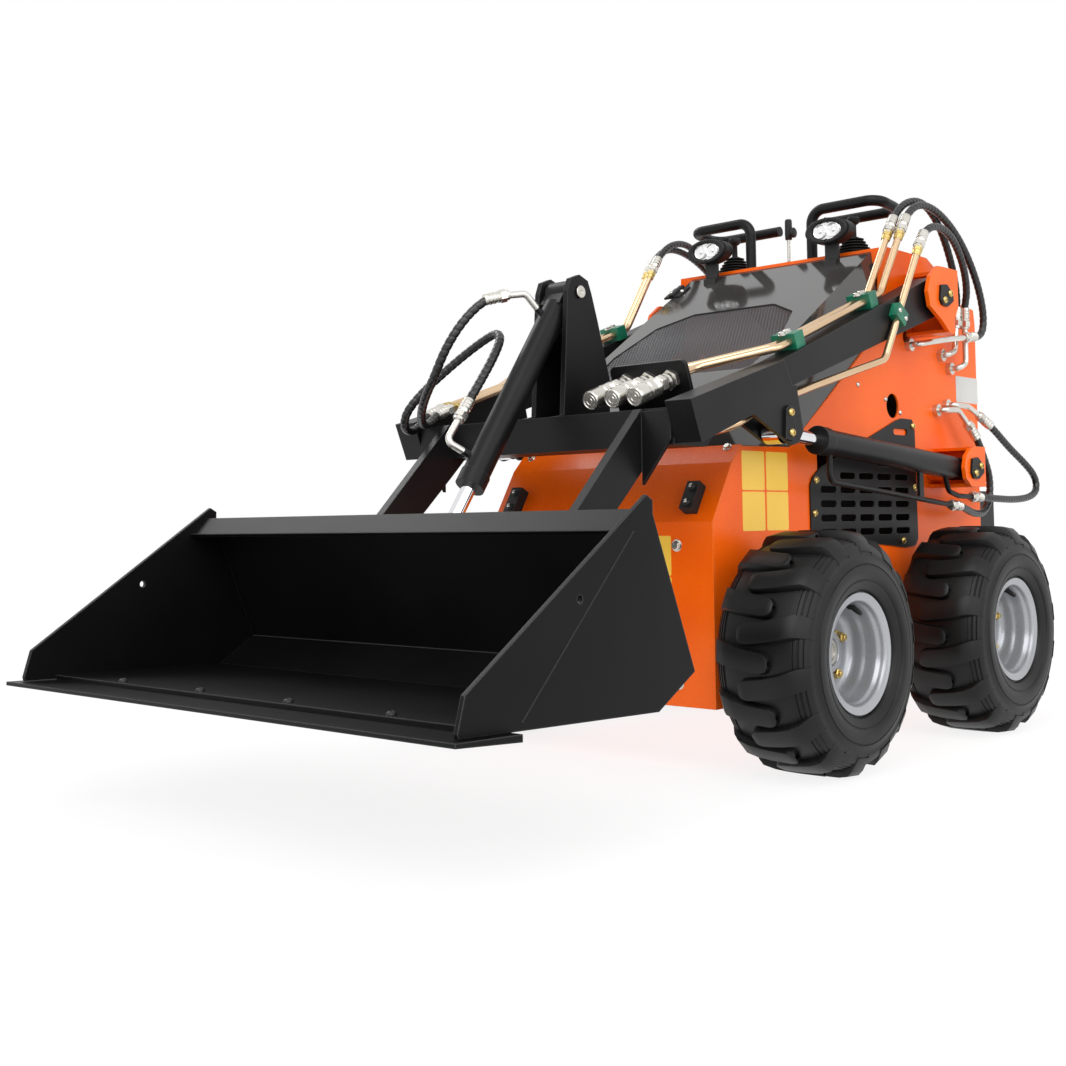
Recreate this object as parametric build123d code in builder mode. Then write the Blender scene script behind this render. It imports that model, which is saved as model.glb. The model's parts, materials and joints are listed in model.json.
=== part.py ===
"""Compact wheeled skid steer loader: chassis, lift boom, cylinders, bucket and wheels.

Row frame, millimetres: X across (+X is the machine's left), -Y is the front, +Z is up.
The origin is on the ground under the middle of the whole machine.
"""

from math import atan2, cos, hypot, pi, radians, sin, tan

from build123d import *
import os

os.makedirs("parts", exist_ok=True)

# ---------------------------------------------------------------- driving sizes
BODY_HALF = 300.0            # half width over the orange side panels
SHEET = 5.0                  # body sheet
FRONT_Y = -216.0             # lower front face
REAR_Y = 960.0               # rear face
AXLE_FRONT_Y = -80.0
AXLE_REAR_Y = 610.0
TYRE_R = 234.0
TYRE_HALF = 106.5
WHEEL_X = 447.5              # middle of each tyre
BEAD_R = 101.0
FLANGE_R = 115.0
RIM_HALF = 92.5
DISC_OUT = 14.5              # outer face of a rim's disc
DISC_SHEET = 8.0
CAP_OUT = 28.5               # outer face of its hub cap
CAP_SHEET = 6.0
STUB_END = CAP_OUT - CAP_SHEET - 7.0
STUB_R = 25.0
ARM_IN, ARM_OUT = 340.0, 392.0
PLATE_OUT = 400.0            # outer face of the arm's front plate
ARM_END_R = 45.0
LIFT_X = 370.0               # plane of the lift cylinders
PIN_R = 12.5
PIN_GAP = 0.1                # pin in its own plates
EYE_GAP = 0.3                # pin in the other body's eye
BUCKET_HALF = 569.0          # inner face of the bucket's side plates
BUCKET_SHEET = 8.0
EDGE_HALF = BUCKET_HALF + BUCKET_SHEET + 18.0    # cutting edge, past the side plates

# places of the pins, as (y, z)
BOOM_PIN = (555.0, 1003.0)
ROD_PIN = (-95.0, 662.0)
BASE_PIN = (690.0, 604.0)
MAST_PIN = (-305.0, 955.0)
TILT_PIN = (-649.9, 451.9)
BUCKET_PIN = (-628.4, 339.0)


# ---------------------------------------------------------------- helpers
def band(line, t):
    """Closed outline of a sheet: the line, then the same line moved t to its left."""
    moved = []
    for i, (y, z) in enumerate(line):
        normals = []
        if i > 0:
            dy, dz = y - line[i - 1][0], z - line[i - 1][1]
            normals.append((-dz / hypot(dy, dz), dy / hypot(dy, dz)))
        if i < len(line) - 1:
            dy, dz = line[i + 1][0] - y, line[i + 1][1] - z
            normals.append((-dz / hypot(dy, dz), dy / hypot(dy, dz)))
        ny = sum(n[0] for n in normals) / len(normals)
        nz = sum(n[1] for n in normals) / len(normals)
        scale = t / (ny * ny + nz * nz)
        moved.append((y + ny * scale, z + nz * scale))
    return list(line) + moved[::-1]


def side(x):
    """Sketch plane across the machine at x: local x is row Y, local y is row Z."""
    return Plane(origin=(x, 0, 0), x_dir=(0, 1, 0), z_dir=(1, 0, 0))


def slab(x_low, x_high, outline, holes=(), mode=Mode.ADD):
    """A plate between two x planes, with round holes (y, z, radius)."""
    with BuildSketch(side(x_low)) as sketch:
        with BuildLine():
            Polyline(*outline, close=True)
        make_face()
        for y, z, r in holes:
            with Locations((y, z)):
                Circle(r, mode=Mode.SUBTRACT)
    extrude(sketch.sketch, amount=x_high - x_low, mode=mode)


def rod(x_low, x_high, y, z, r, mode=Mode.ADD):
    """A round bar along X."""
    with BuildSketch(side(x_low)) as sketch:
        with Locations((y, z)):
            Circle(r)
    extrude(sketch.sketch, amount=x_high - x_low, mode=mode)


def along(x, start, end):
    """Plane at start, its normal toward end, both (y, z) at the same x."""
    dy, dz = end[0] - start[0], end[1] - start[1]
    length = hypot(dy, dz)
    return Plane(origin=(x, start[0], start[1]), x_dir=(1, 0, 0), z_dir=(0, dy / length, dz / length))


def ring(plane, low, high, r_out, r_in=0.0, mode=Mode.ADD):
    """A tube along a plane's normal between two distances from its origin."""
    with BuildSketch(plane.offset(low)) as sketch:
        Circle(r_out)
        if r_in:
            Circle(r_in, mode=Mode.SUBTRACT)
    extrude(sketch.sketch, amount=high - low, mode=mode)


def fillet_radii(points):
    """The largest easy bend at each inner point: 0.45 of the shorter run over tan(half the turn)."""
    radii = []
    for a, b, c in zip(points, points[1:], points[2:]):
        u = Vector(*b) - Vector(*a)
        v = Vector(*c) - Vector(*b)
        turn = radians(u.get_angle(v))
        radii.append(0.45 * min(u.length, v.length) / tan(turn / 2))
    return radii


def pipe(points, r, radii=None):
    """A round tube solid along straight runs joined by tangent arcs."""
    with BuildLine() as route:
        FilletPolyline(*points, radius=radii or fillet_radii(points))
    start = route.wires()[0]
    with BuildSketch(Plane(origin=start @ 0, z_dir=start % 0)) as sketch:
        Circle(r)
    sweep(sketch.sketch, path=route.wires()[0])


def save(part, name):
    part.label = name
    export_step(part, "parts/" + name + ".step")


# ---------------------------------------------------------------- chassis
FRONT_LINE = [(FRONT_Y, 125), (FRONT_Y, 486), (-147, 604), (-113, 640)]
INNER_FRONT = band(FRONT_LINE, -SHEET)[4:][::-1]
SHELL = INNER_FRONT + [(66, 640), (480, 940), (495, 1125), (699, 1125), (738, 1107),
                       (879, 1028), (948, 1022), (REAR_Y - SHEET, 985),
                       (REAR_Y - SHEET, 260), (860, 125)]
GRILLE_HOLE = (170.0, 590.0, 440.0, 640.0)        # y low, y high, z low, z high

with BuildPart() as chassis_shell:
    slab(-BODY_HALF, BODY_HALF, SHELL)
    with BuildSketch(side(-BODY_HALF + SHEET)) as inside:
        with BuildLine():
            Polyline(*SHELL, close=True)
        make_face()
        offset(amount=-SHEET, kind=Kind.INTERSECTION)
    extrude(inside.sketch, amount=2 * (BODY_HALF - SHEET), mode=Mode.SUBTRACT)
    # open front behind the front panel, open rear behind the rear panel, open under the hood
    with Locations((0, FRONT_Y + 20, 350)):
        Box(2 * BODY_HALF - 40, 60, 400, mode=Mode.SUBTRACT)
    with Locations((0, REAR_Y - 20, 620)):
        Box(2 * BODY_HALF - 50, 60, 640, mode=Mode.SUBTRACT)
    slab(-BODY_HALF + 20, BODY_HALF - 20,
         [(90, 620), (90, 700), (400, 1090), (520, 1090), (520, 930)], mode=Mode.SUBTRACT)
    for s in (-1, 1):
        with Locations((s * BODY_HALF, (GRILLE_HOLE[0] + GRILLE_HOLE[1]) / 2,
                        (GRILLE_HOLE[2] + GRILLE_HOLE[3]) / 2)):
            Box(40, GRILLE_HOLE[1] - GRILLE_HOLE[0], GRILLE_HOLE[3] - GRILLE_HOLE[2],
                mode=Mode.SUBTRACT)
        rod(s * BODY_HALF - 20, s * BODY_HALF + 20, 509, 750, 29, mode=Mode.SUBTRACT)
        rod(s * BODY_HALF - 20, s * BODY_HALF + 20, 584, 919, 16, mode=Mode.SUBTRACT)
save(chassis_shell.part, "chassis_shell")

with BuildPart() as front_panel:
    slab(-BODY_HALF, BODY_HALF, band(FRONT_LINE, -SHEET))
save(front_panel.part, "front_panel")

with BuildPart() as rear_panel:
    with Locations((0, REAR_Y - SHEET / 2, 622)):
        Box(2 * BODY_HALF - 20, SHEET, 716)
    with Locations((0, REAR_Y + 15, 760)):
        Box(420, 30, 300)
save(rear_panel.part, "rear_panel")

# sloping hood: a tapered channel of sheet, cut to the body's upper edge
HOOD_SLOPE = atan2(0.658, 1.0)
HOOD_TOP = (495.0, 1118.0)
HOOD_DEEP = 170.0
HOOD_SHEET = 4.0
FOLD_HALF = BODY_HALF - 38.0
hood_plane = Plane(origin=(0, HOOD_TOP[0], HOOD_TOP[1]), x_dir=(1, 0, 0),
                   z_dir=(0, -cos(HOOD_SLOPE), -sin(HOOD_SLOPE)))
HOOD_FRONT_Y = -113.0
HOOD_FRONT_Z = HOOD_TOP[1] - (HOOD_TOP[0] - HOOD_FRONT_Y) * 0.658
HOOD_SIDE = [(HOOD_FRONT_Y, 640), (66, 640), (480, 940), (495, 1125), (495, 1140), (400, 1140),
             (HOOD_FRONT_Y, 800)]


def hood_section(inset):
    slope = (BODY_HALF - FOLD_HALF) / HOOD_DEEP
    low = HOOD_DEEP + 60
    return [(-FOLD_HALF + inset, -inset), (FOLD_HALF - inset, -inset),
            (FOLD_HALF + slope * low - inset, -low), (-FOLD_HALF - slope * low + inset, -low)]


def hood_block(inset, front_y):
    """The tapered hood as a block, its sides and top moved in by inset, from front_y back."""
    with BuildPart() as block:
        with BuildSketch(hood_plane.offset(-80)) as section:
            with BuildLine():
                Polyline(*hood_section(inset), close=True)
            make_face()
        extrude(section.sketch, amount=900)
        with BuildSketch(side(-400)) as keep:
            with BuildLine():
                Polyline(*[(max(y, front_y), z) for y, z in HOOD_SIDE], close=True)
            make_face()
        extrude(keep.sketch, amount=800, mode=Mode.INTERSECT)
    return block.part


WINDOW = [(-115, 232), (-196, 290), (-234, 430), (-226, 560), (226, 560), (234, 430),
          (196, 290), (115, 232)]                   # x, distance down the slope from its top

with BuildPart() as engine_hood:
    add(hood_block(0.0, HOOD_FRONT_Y))
    inner = hood_block(HOOD_SHEET, HOOD_FRONT_Y + HOOD_SHEET)
    add(inner, mode=Mode.SUBTRACT)
    with BuildSketch(Plane(origin=(0, HOOD_TOP[0], HOOD_TOP[1]), x_dir=(1, 0, 0),
                           z_dir=(0, sin(HOOD_SLOPE), -cos(HOOD_SLOPE)))) as window:
        with BuildLine():
            Polyline(*WINDOW, close=True)
        make_face()
        fillet(window.vertices(), 22)
    extrude(window.sketch, amount=20, both=True, mode=Mode.SUBTRACT)
save(engine_hood.part, "engine_hood")

# thin sheet behind the window, stood in its frame
with BuildPart() as mesh_screen:
    with BuildSketch(Plane(origin=(0, HOOD_TOP[0], HOOD_TOP[1]), x_dir=(1, 0, 0),
                           z_dir=(0, sin(HOOD_SLOPE), -cos(HOOD_SLOPE))).offset(HOOD_SHEET)) as sheet:
        with Locations((0, 362)):
            Rectangle(2 * (FOLD_HALF - 17), 440)
    extrude(sheet.sketch, amount=2)
save(mesh_screen.part, "mesh_screen")

# slotted guards over the engine bay's side openings
GUARD = [(136, 560), (146, 578), (181, 600), (518, 716), (543, 722), (592, 722), (606, 708),
         (610, 440), (598, 424), (552, 420), (148, 448), (136, 460)]
SLOT_COLUMNS = (208, 290, 372, 454, 536)
SLOT_ROWS = [        # z, first column shown
    (459, 0), (490, 0), (521, 0), (552, 0), (583, 1), (614, 3), (645, 4), (690, 4),
]
with BuildPart() as side_guards:
    for x in (BODY_HALF, -BODY_HALF - 4):
        with BuildSketch(side(x)) as plate:
            with BuildLine():
                Polyline(*GUARD, close=True)
            make_face()
            for z, first in SLOT_ROWS:
                for y in SLOT_COLUMNS[first:]:
                    with Locations((y, z)):
                        SlotOverall(66, 15, mode=Mode.SUBTRACT)
        extrude(plate.sketch, amount=4)
save(side_guards.part, "side_guards")

# brackets that hold the boom's pivots: outer plate, top plate and bottom plate
BRACKET_IN, BRACKET_OUT = 402.0, 412.0
by, bz = BOOM_PIN
BOOM_BRACKET = [(by + 11, bz + 67), (by - 20, bz + 66), (by - 58, bz + 38), (by - 72, bz + 2),
                (by - 62, bz - 32), (by - 8, bz - 58), (by + 30, bz - 83), (by + 46, bz - 83),
                (by + 60, bz - 46), (by + 78, bz - 21)]
with BuildPart() as boom_brackets:
    for s in (1, -1):
        x0, x1 = sorted((s * BRACKET_IN, s * BRACKET_OUT))
        slab(x0, x1, BOOM_BRACKET, [(by, bz, PIN_R + PIN_GAP)])
        t0, t1 = sorted((s * BODY_HALF, s * BRACKET_IN))
        slab(t0, t1, [(by + 36, bz + 57), (by + 78, bz + 57), (by + 78, bz + 67), (by + 36, bz + 67)])
        slab(t0, t1, [(by + 70, bz + 57), (by + 78, bz + 57), (by + 78, bz - 83), (by + 70, bz - 83)])
        slab(t0, t1, [(by + 30, bz - 83), (by + 70, bz - 83), (by + 70, bz - 75), (by + 30, bz - 75)])
        slab(x0, x1, [(by + 11, bz + 67), (by + 46, bz + 20), (by + 78, bz - 21), (by + 78, bz - 83),
                      (by + 78, bz + 67)])
        b0, b1 = sorted((s * BODY_HALF, s * (ARM_IN - 1)))
        rod(b0, b1, by, bz, 30)
        rod(b0 - 1, b1 + 1, by, bz, PIN_R + PIN_GAP, mode=Mode.SUBTRACT)
save(boom_brackets.part, "boom_brackets")

ly, lz = BASE_PIN
with BuildPart() as cylinder_brackets:
    for s in (1, -1):
        x0, x1 = sorted((s * BRACKET_IN, s * BRACKET_OUT))
        slab(x0, x1, [(ly + 20, lz + 52), (ly - 12, lz + 47), (ly - 38, lz + 28), (ly - 47, lz),
                      (ly - 40, lz - 26), (ly - 14, lz - 44), (ly + 62, lz - 44), (ly + 62, lz + 52)],
             [(ly, lz, PIN_R + PIN_GAP)])
        t0, t1 = sorted((s * BODY_HALF, s * BRACKET_IN))
        slab(t0, t1, [(ly + 20, lz + 44), (ly + 62, lz + 44), (ly + 62, lz + 52), (ly + 20, lz + 52)])
        slab(t0, t1, [(ly + 54, lz + 44), (ly + 62, lz + 44), (ly + 62, lz - 44), (ly + 54, lz - 44)])
        slab(t0, t1, [(ly - 10, lz - 44), (ly + 54, lz - 44), (ly + 54, lz - 36), (ly - 10, lz - 36)])
        b0, b1 = sorted((s * BODY_HALF, s * (LIFT_X - 19)))
        rod(b0, b1, ly, lz, 28)
        rod(b0 - 1, b1 + 1, ly, lz, PIN_R + PIN_GAP, mode=Mode.SUBTRACT)
save(cylinder_brackets.part, "cylinder_brackets")

# pins with their keeper plates on the brackets' outer faces
with BuildPart() as chassis_pins:
    for s in (1, -1):
        for y, z in (BOOM_PIN, BASE_PIN):
            x0, x1 = sorted((s * (BODY_HALF + 1), s * BRACKET_OUT))
            rod(x0, x1, y, z, PIN_R)
            k0, k1 = sorted((s * BRACKET_OUT, s * (BRACKET_OUT + 6)))
            slab(k0, k1, [(y - 22, z - 12), (y - 16, z + 22), (y + 12, z + 26), (y + 40, z + 8),
                          (y + 44, z - 10), (y + 14, z - 26), (y - 12, z - 24)])
save(chassis_pins.part, "chassis_pins")

# tubular handle loops on the control top
RAIL_R = 13.0
RAIL = [(90, 514, 1125), (90, 514, 1246), (272, 514, 1246), (272, 624, 1236), (72, 624, 1236)]
with BuildPart() as handrails:
    for s in (1, -1):
        pipe([(s * x, y, z) for x, y, z in RAIL], RAIL_R, [34, 34, 34])
save(handrails.part, "handrails")

# oval lamps, each on a small stand on the hood
LAMP = (176.0, 464.0, 1173.0)
with BuildPart() as work_lamps:
    for s in (1, -1):
        with BuildSketch(Plane(origin=(s * LAMP[0], LAMP[1] - 22, LAMP[2]), x_dir=(1, 0, 0),
                               z_dir=(0, 1, 0))) as face:
            Ellipse(60.5, 31)
        extrude(face.sketch, amount=30)
        with BuildSketch(Plane(origin=(s * LAMP[0], LAMP[1] + 8, LAMP[2]), x_dir=(1, 0, 0),
                               z_dir=(0, 1, 0))) as back:
            Ellipse(44, 22)
        extrude(back.sketch, amount=14)
        foot_z = HOOD_TOP[1] - (HOOD_TOP[0] - LAMP[1]) * 0.658 + 4
        with Locations((s * LAMP[0], LAMP[1], (foot_z + LAMP[2] - 20) / 2)):
            Box(36, 8, LAMP[2] - 20 - foot_z)
        slope_z = HOOD_TOP[1] - (HOOD_TOP[0] - LAMP[1]) * 0.658
        slab(s * LAMP[0] - 18, s * LAMP[0] + 18,
             [(LAMP[1] - 14, slope_z - 14 * 0.658), (LAMP[1] + 4, slope_z + 4 * 0.658),
              (LAMP[1] + 4, slope_z + 12), (LAMP[1] - 14, slope_z + 6)])
save(work_lamps.part, "work_lamps")

# travel sticks in ribbed boots, and one thin lever with a knob
with BuildPart() as control_sticks:
    for s in (1, -1):
        for low, high, r_low, r_high in ((1125, 1133, 46, 46), (1133, 1172, 42, 18),
                                         (1172, 1216, 8, 8), (1216, 1226, 16, 16)):
            with BuildSketch(Plane.XY.offset(low)) as a:
                with Locations((s * 176, 566)):
                    Circle(r_low)
            if r_low == r_high:
                extrude(a.sketch, amount=high - low)
            else:
                with BuildSketch(Plane.XY.offset(high)) as b:
                    with Locations((s * 176, 566)):
                        Circle(r_high)
                loft([a.sketch.faces()[0], b.sketch.faces()[0]])
    with Locations((-10, 566, 1128)):
        Cylinder(14, 6)
    with Locations((-10, 566, 1165)):
        Cylinder(4, 80)
    with Locations((-10, 566, 1222)):
        Cylinder(10, 54)
    with Locations(Location((2, 566, 1213), (0, 90, 0))):
        Cylinder(13, 12)
save(control_sticks.part, "control_sticks")

with BuildPart() as rubber_blocks:
    slope = atan2(604 - 486, -147 - FRONT_Y)
    for s in (1, -1):
        base = Plane(origin=(s * (BODY_HALF - 58), -191, 486 + (FRONT_Y + 191) * -118 / 69), x_dir=(1, 0, 0),
                     z_dir=(0, -sin(slope), cos(slope)))
        with BuildSketch(base) as block:
            Rectangle(30, 62)
        extrude(block.sketch, amount=24)
save(rubber_blocks.part, "rubber_blocks")

# standing platform behind the machine on two side plates
with BuildPart() as operator_platform:
    for x in (-BODY_HALF + 24, BODY_HALF - 36):
        slab(x, x + 12, [(REAR_Y, 190), (1183, 190), (1183, 224), (1087, 300), (1087, 535),
                         (1060, 555), (REAR_Y + 20, 555), (REAR_Y + 5, 540), (REAR_Y + 5, 262), (REAR_Y, 262)])
    with Locations((0, (REAR_Y + 1183) / 2 + 2, 205)):
        Box(2 * BODY_HALF - 72, 1183 - REAR_Y - 4, 8)
    with Locations((0, REAR_Y + 5, 232)):
        Box(2 * BODY_HALF - 72, 10, 80)
save(operator_platform.part, "operator_platform")

with BuildPart() as engine_block:
    with Locations((0, 330, 355)):
        Box(340, 480, 450)
save(engine_block.part, "engine_block")

with BuildPart() as axle_stubs:
    for s in (1, -1):
        for y in (AXLE_FRONT_Y, AXLE_REAR_Y):
            x0, x1 = sorted((s * BODY_HALF, s * (WHEEL_X + STUB_END)))
            rod(x0, x1, y, TYRE_R, STUB_R)
            f0, f1 = sorted((s * BODY_HALF, s * (BODY_HALF + 12)))
            rod(f0, f1, y, TYRE_R, 55)
save(axle_stubs.part, "axle_stubs")

# ---------------------------------------------------------------- wheels
# profiles: u outward from the tyre's middle, r from the axle
RIM_OUTER = [(-RIM_HALF, 111), (-RIM_HALF, FLANGE_R), (-RIM_HALF + 4, FLANGE_R), (-RIM_HALF + 4, BEAD_R),
             (RIM_HALF - 4, BEAD_R), (RIM_HALF - 4, FLANGE_R), (RIM_HALF, FLANGE_R), (RIM_HALF, 111),
             (RIM_HALF, 97), (DISC_OUT, 97), (DISC_OUT, 40), (CAP_OUT, 40), (CAP_OUT, 0),
             (CAP_OUT - CAP_SHEET, 0), (CAP_OUT - CAP_SHEET, STUB_R + 0.2), (-60, STUB_R + 0.2),
             (-60, 44), (DISC_OUT - DISC_SHEET, 44), (DISC_OUT - DISC_SHEET, 97), (-RIM_HALF, 97)]


BEAD_HALF = RIM_HALF - 4 - 0.3       # tyre between the rim's flanges, 0.3 mm clear


def wheel_plane(s, y):
    """Sketch plane: local x outward along the axle, local y up from it."""
    return Plane(origin=(s * WHEEL_X, y, TYRE_R), x_dir=(s, 0, 0), z_dir=(0, -s, 0))


for end, y in (("front", AXLE_FRONT_Y), ("rear", AXLE_REAR_Y)):
    for hand, s in (("left", 1), ("right", -1)):
        axis = Axis((s * WHEEL_X, y, TYRE_R), (1, 0, 0))
        with BuildPart() as rim:
            with BuildSketch(wheel_plane(s, y)) as section:
                with BuildLine():
                    Polyline(*RIM_OUTER, close=True)
                make_face()
            revolve(section.sketch, axis=axis)
        save(rim.part, "rim_" + end + "_" + hand)
        with BuildPart() as tyre:
            with BuildSketch(wheel_plane(s, y)) as section:
                with BuildLine():
                    l1 = Line((-BEAD_HALF, BEAD_R + 0.3), (-BEAD_HALF, FLANGE_R + 3))
                    l2 = ThreePointArc(l1 @ 1, (-TYRE_HALF, 168), (-TYRE_HALF + 14, TYRE_R - 12))
                    l3 = Line(l2 @ 1, (-TYRE_HALF + 24, TYRE_R - 5))
                    l4 = ThreePointArc(l3 @ 1, (0, TYRE_R), (TYRE_HALF - 24, TYRE_R - 5))
                    l5 = Line(l4 @ 1, (TYRE_HALF - 14, TYRE_R - 12))
                    l6 = ThreePointArc(l5 @ 1, (TYRE_HALF, 168), (BEAD_HALF, FLANGE_R + 3))
                    l7 = Line(l6 @ 1, (BEAD_HALF, BEAD_R + 0.3))
                    Line(l7 @ 1, l1 @ 0)
                make_face()
            revolve(section.sketch, axis=axis)
        save(tyre.part, "tyre_" + end + "_" + hand)

# ---------------------------------------------------------------- lift boom
# front plate of each arm, with the lug that carries the lift cylinder's rod
FRONT_PLATE = [(-412, 707), (-104, 801), (-77, 752), (-62, 754), (-40, 664), (-58, 640), (-82, 634),
               (-215, 689), (-381, 630)]
LUG = [(-215, 690), (-62, 754), (-40, 664), (-58, 640), (-82, 634)]
hy, hz = BOOM_PIN
ry, rz = ROD_PIN
with BuildPart() as boom_arms:
    for s in (1, -1):
        a0, a1 = sorted((s * ARM_IN, s * ARM_OUT))
        slab(a0, a1, [(-412, 707), (-104, 801), (hy - 16.3, hz + 42), (hy + 13.8, hz - 42.8),
                      (-62, 754), (-215, 690), (-381, 630)])
        rod(a0, a1, hy, hz, ARM_END_R)
        rod(a0 - 1, a1 + 1, hy, hz, PIN_R + EYE_GAP, mode=Mode.SUBTRACT)
        p0, p1 = sorted((s * ARM_OUT, s * PLATE_OUT))
        slab(p0, p1, FRONT_PLATE)
        i0, i1 = sorted((s * ARM_IN, s * (ARM_IN + 8)))
        slab(i0, i1, LUG)
        rod(min(a0, p0) - 1, max(a1, p1) + 1, ry, rz, PIN_R + PIN_GAP, mode=Mode.SUBTRACT)
save(boom_arms.part, "boom_arms")

BEAM = [(-385, 628), (-285, 628), (-215, 698), (-385, 698)]
with BuildPart() as cross_beam:
    slab(-ARM_IN, ARM_IN, BEAM)
save(cross_beam.part, "cross_beam")

# legs from the beam down to the bucket pins, each with a corner gusset beside it
LEG_IN, LEG_OUT = 250.0, 270.0
qy, qz = BUCKET_PIN
LEG = [(-385, 698), (-392, 698), (-580, 507), (-636, 440), (qy - 30, qz + 8), (qy - 30, qz),
       (qy + 30, qz), (qy + 33, qz + 26), (-540, 440), (-473, 506), (-384, 590), (-345, 628),
       (-385, 628)]
with BuildPart() as boom_legs:
    for s in (1, -1):
        a0, a1 = sorted((s * LEG_IN, s * LEG_OUT))
        slab(a0, a1, LEG)
        rod(a0, a1, qy, qz, 30)
        rod(a0 - 1, a1 + 1, qy, qz, PIN_R + EYE_GAP, mode=Mode.SUBTRACT)
        with BuildSketch(Plane(origin=(0, -385, 0), x_dir=(1, 0, 0), z_dir=(0, -1, 0))) as gusset:
            with BuildLine():
                Polyline((s * LEG_OUT, 556), (s * LEG_OUT, 694), (s * 338, 694), (s * 338, 640), close=True)
            make_face()
        extrude(gusset.sketch, amount=8)
save(boom_legs.part, "boom_legs")

EAR_IN, EAR_OUT = 33.0, 45.0
my, mz = MAST_PIN
EAR = [(-385, 698), (-357, 704), (my - 36, mz), (my - 26, mz + 26), (my, mz + 36), (my + 26, mz + 26),
       (my + 37, mz), (-248, 895), (-212, 775), (-216, 698)]
with BuildPart() as tilt_mast:
    for x in (-EAR_OUT, EAR_IN):
        slab(x, x + EAR_OUT - EAR_IN, EAR, [(my, mz, PIN_R + PIN_GAP)])
    slab(-EAR_IN, EAR_IN, [(-256, 895), (-248, 895), (-212, 775), (-216, 698), (-224, 698), (-220, 775)])
save(tilt_mast.part, "tilt_mast")

# plate for the quick couplers, leaned to stand square to the arms
COUPLER_X = (133.0, 188.0, 243.0)
LEAN = radians(19.6)
bracket_plane = Plane(origin=(188, -229, 698), x_dir=(1, 0, 0), z_dir=(0, -cos(LEAN), -sin(LEAN)))
with BuildPart() as coupler_bracket:
    with BuildSketch(bracket_plane) as plate:
        with Locations((0, 57)):
            Rectangle(190, 106)
        fillet(plate.vertices().group_by(Axis.Z)[-1], 14)
        for x in COUPLER_X:
            with Locations((x - 188, 74)):
                Circle(17.2, mode=Mode.SUBTRACT)
    extrude(plate.sketch, amount=8)
    slab(93, 283, [(-243, 698), (-217, 698), (-217, 703), (-241, 708)])
save(coupler_bracket.part, "coupler_bracket")

with BuildPart() as quick_couplers:
    for x in COUPLER_X:
        foot = Plane(origin=(x, -229 - 74 * sin(LEAN), 698 + 74 * cos(LEAN)), x_dir=(1, 0, 0),
                     z_dir=(0, -cos(LEAN), -sin(LEAN)))
        ring(foot, -14, 30, 17)
        ring(foot, 30, 64, 15)
        ring(foot, 64, 134, 20)
        ring(foot, 8, 20, 21)
save(quick_couplers.part, "quick_couplers")

# steel lines, from their hose ends over the arms to the couplers or to the tilt hoses
PIPE_R = 8.0
PIPE_RISE = 17.0             # middle of a line over the arm's top face
TOP_SLOPE = (hz + 42 - 801) / (hy - 16.3 + 104)


def on_arm(x, y):
    """Point of a line that runs along the arm's top face."""
    return (x, y, 801 + (y + 104) * TOP_SLOPE + PIPE_RISE / cos(atan2(TOP_SLOPE, 1)))


def coupler_back(x, off):
    """Point off behind a quick coupler's rear end, on its axis."""
    return (x, -229 - 74 * sin(LEAN) + (14 + off) * cos(LEAN), 698 + 74 * cos(LEAN) + (14 + off) * sin(LEAN))


HOSE_END_INNER = (344, 431, 1145)
HOSE_END_MIDDLE = (368, 444, 1146)
HOSE_END_OUTER = (401, 465, 1108)
LINE_BEND = 34.0
LINES = [
    # left arm, to the three couplers
    [HOSE_END_INNER, on_arm(344, 322), on_arm(344, -60), coupler_back(188, 60), coupler_back(188, 0)],
    [HOSE_END_MIDDLE, on_arm(368, 340), on_arm(368, -75), coupler_back(243, 60), coupler_back(243, 0)],
    [HOSE_END_OUTER, (401, 294, 833), (376, 30, 758), (368, -150, 704), (366, -232, 668),
     (300, -236, 656), (150, -196, 690), (133, -172, 797), coupler_back(133, 0)],
    # right arm, to the tilt hoses
    [(-344, 431, 1145), on_arm(-344, 322), on_arm(-344, -60), (-304, -150, 800), (-304, -340, 736)],
    [(-368, 444, 1146), on_arm(-368, 340), on_arm(-368, -75), (-326, -165, 798), (-326, -345, 738)],
]
with BuildPart() as boom_pipes:
    for line in LINES:
        pipe(line, PIPE_R, [min(LINE_BEND, r) for r in fillet_radii(line)])
save(boom_pipes.part, "boom_pipes")

# plastic clamps that hold the lines down on the arms, and one on the left arm's side
CLAMP_LONG = 34.0
CLAMP_Y = (282.0, -20.0)
CLAMP_GAP = 0.2
top_turn = atan2(TOP_SLOPE, 1)
with BuildPart() as pipe_clamps:
    for s in (1, -1):
        for y in CLAMP_Y:
            seat = on_arm(s * 356, y)
            across = Plane(origin=seat, x_dir=(1, 0, 0), z_dir=(0, cos(top_turn), sin(top_turn)))
            with BuildSketch(across.offset(-CLAMP_LONG / 2)) as block:
                Rectangle(56, 2 * PIPE_RISE - 1)
                for x in (-12 * s, 12 * s):
                    with Locations((x, 0)):
                        Circle(PIPE_R + CLAMP_GAP, mode=Mode.SUBTRACT)
            extrude(block.sketch, amount=CLAMP_LONG)
    low, high = Vector(*LINES[2][1]), Vector(*LINES[2][0])
    across = Plane(origin=low + (high - low) * 0.38, x_dir=(1, 0, 0), z_dir=high - low)
    with BuildSketch(across.offset(-CLAMP_LONG / 2)) as block:
        with Locations((1.5, 0)):
            Rectangle(20, 44)
        with Locations((0, 0)):
            Circle(PIPE_R + CLAMP_GAP, mode=Mode.SUBTRACT)
    extrude(block.sketch, amount=CLAMP_LONG)
save(pipe_clamps.part, "pipe_clamps")

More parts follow.
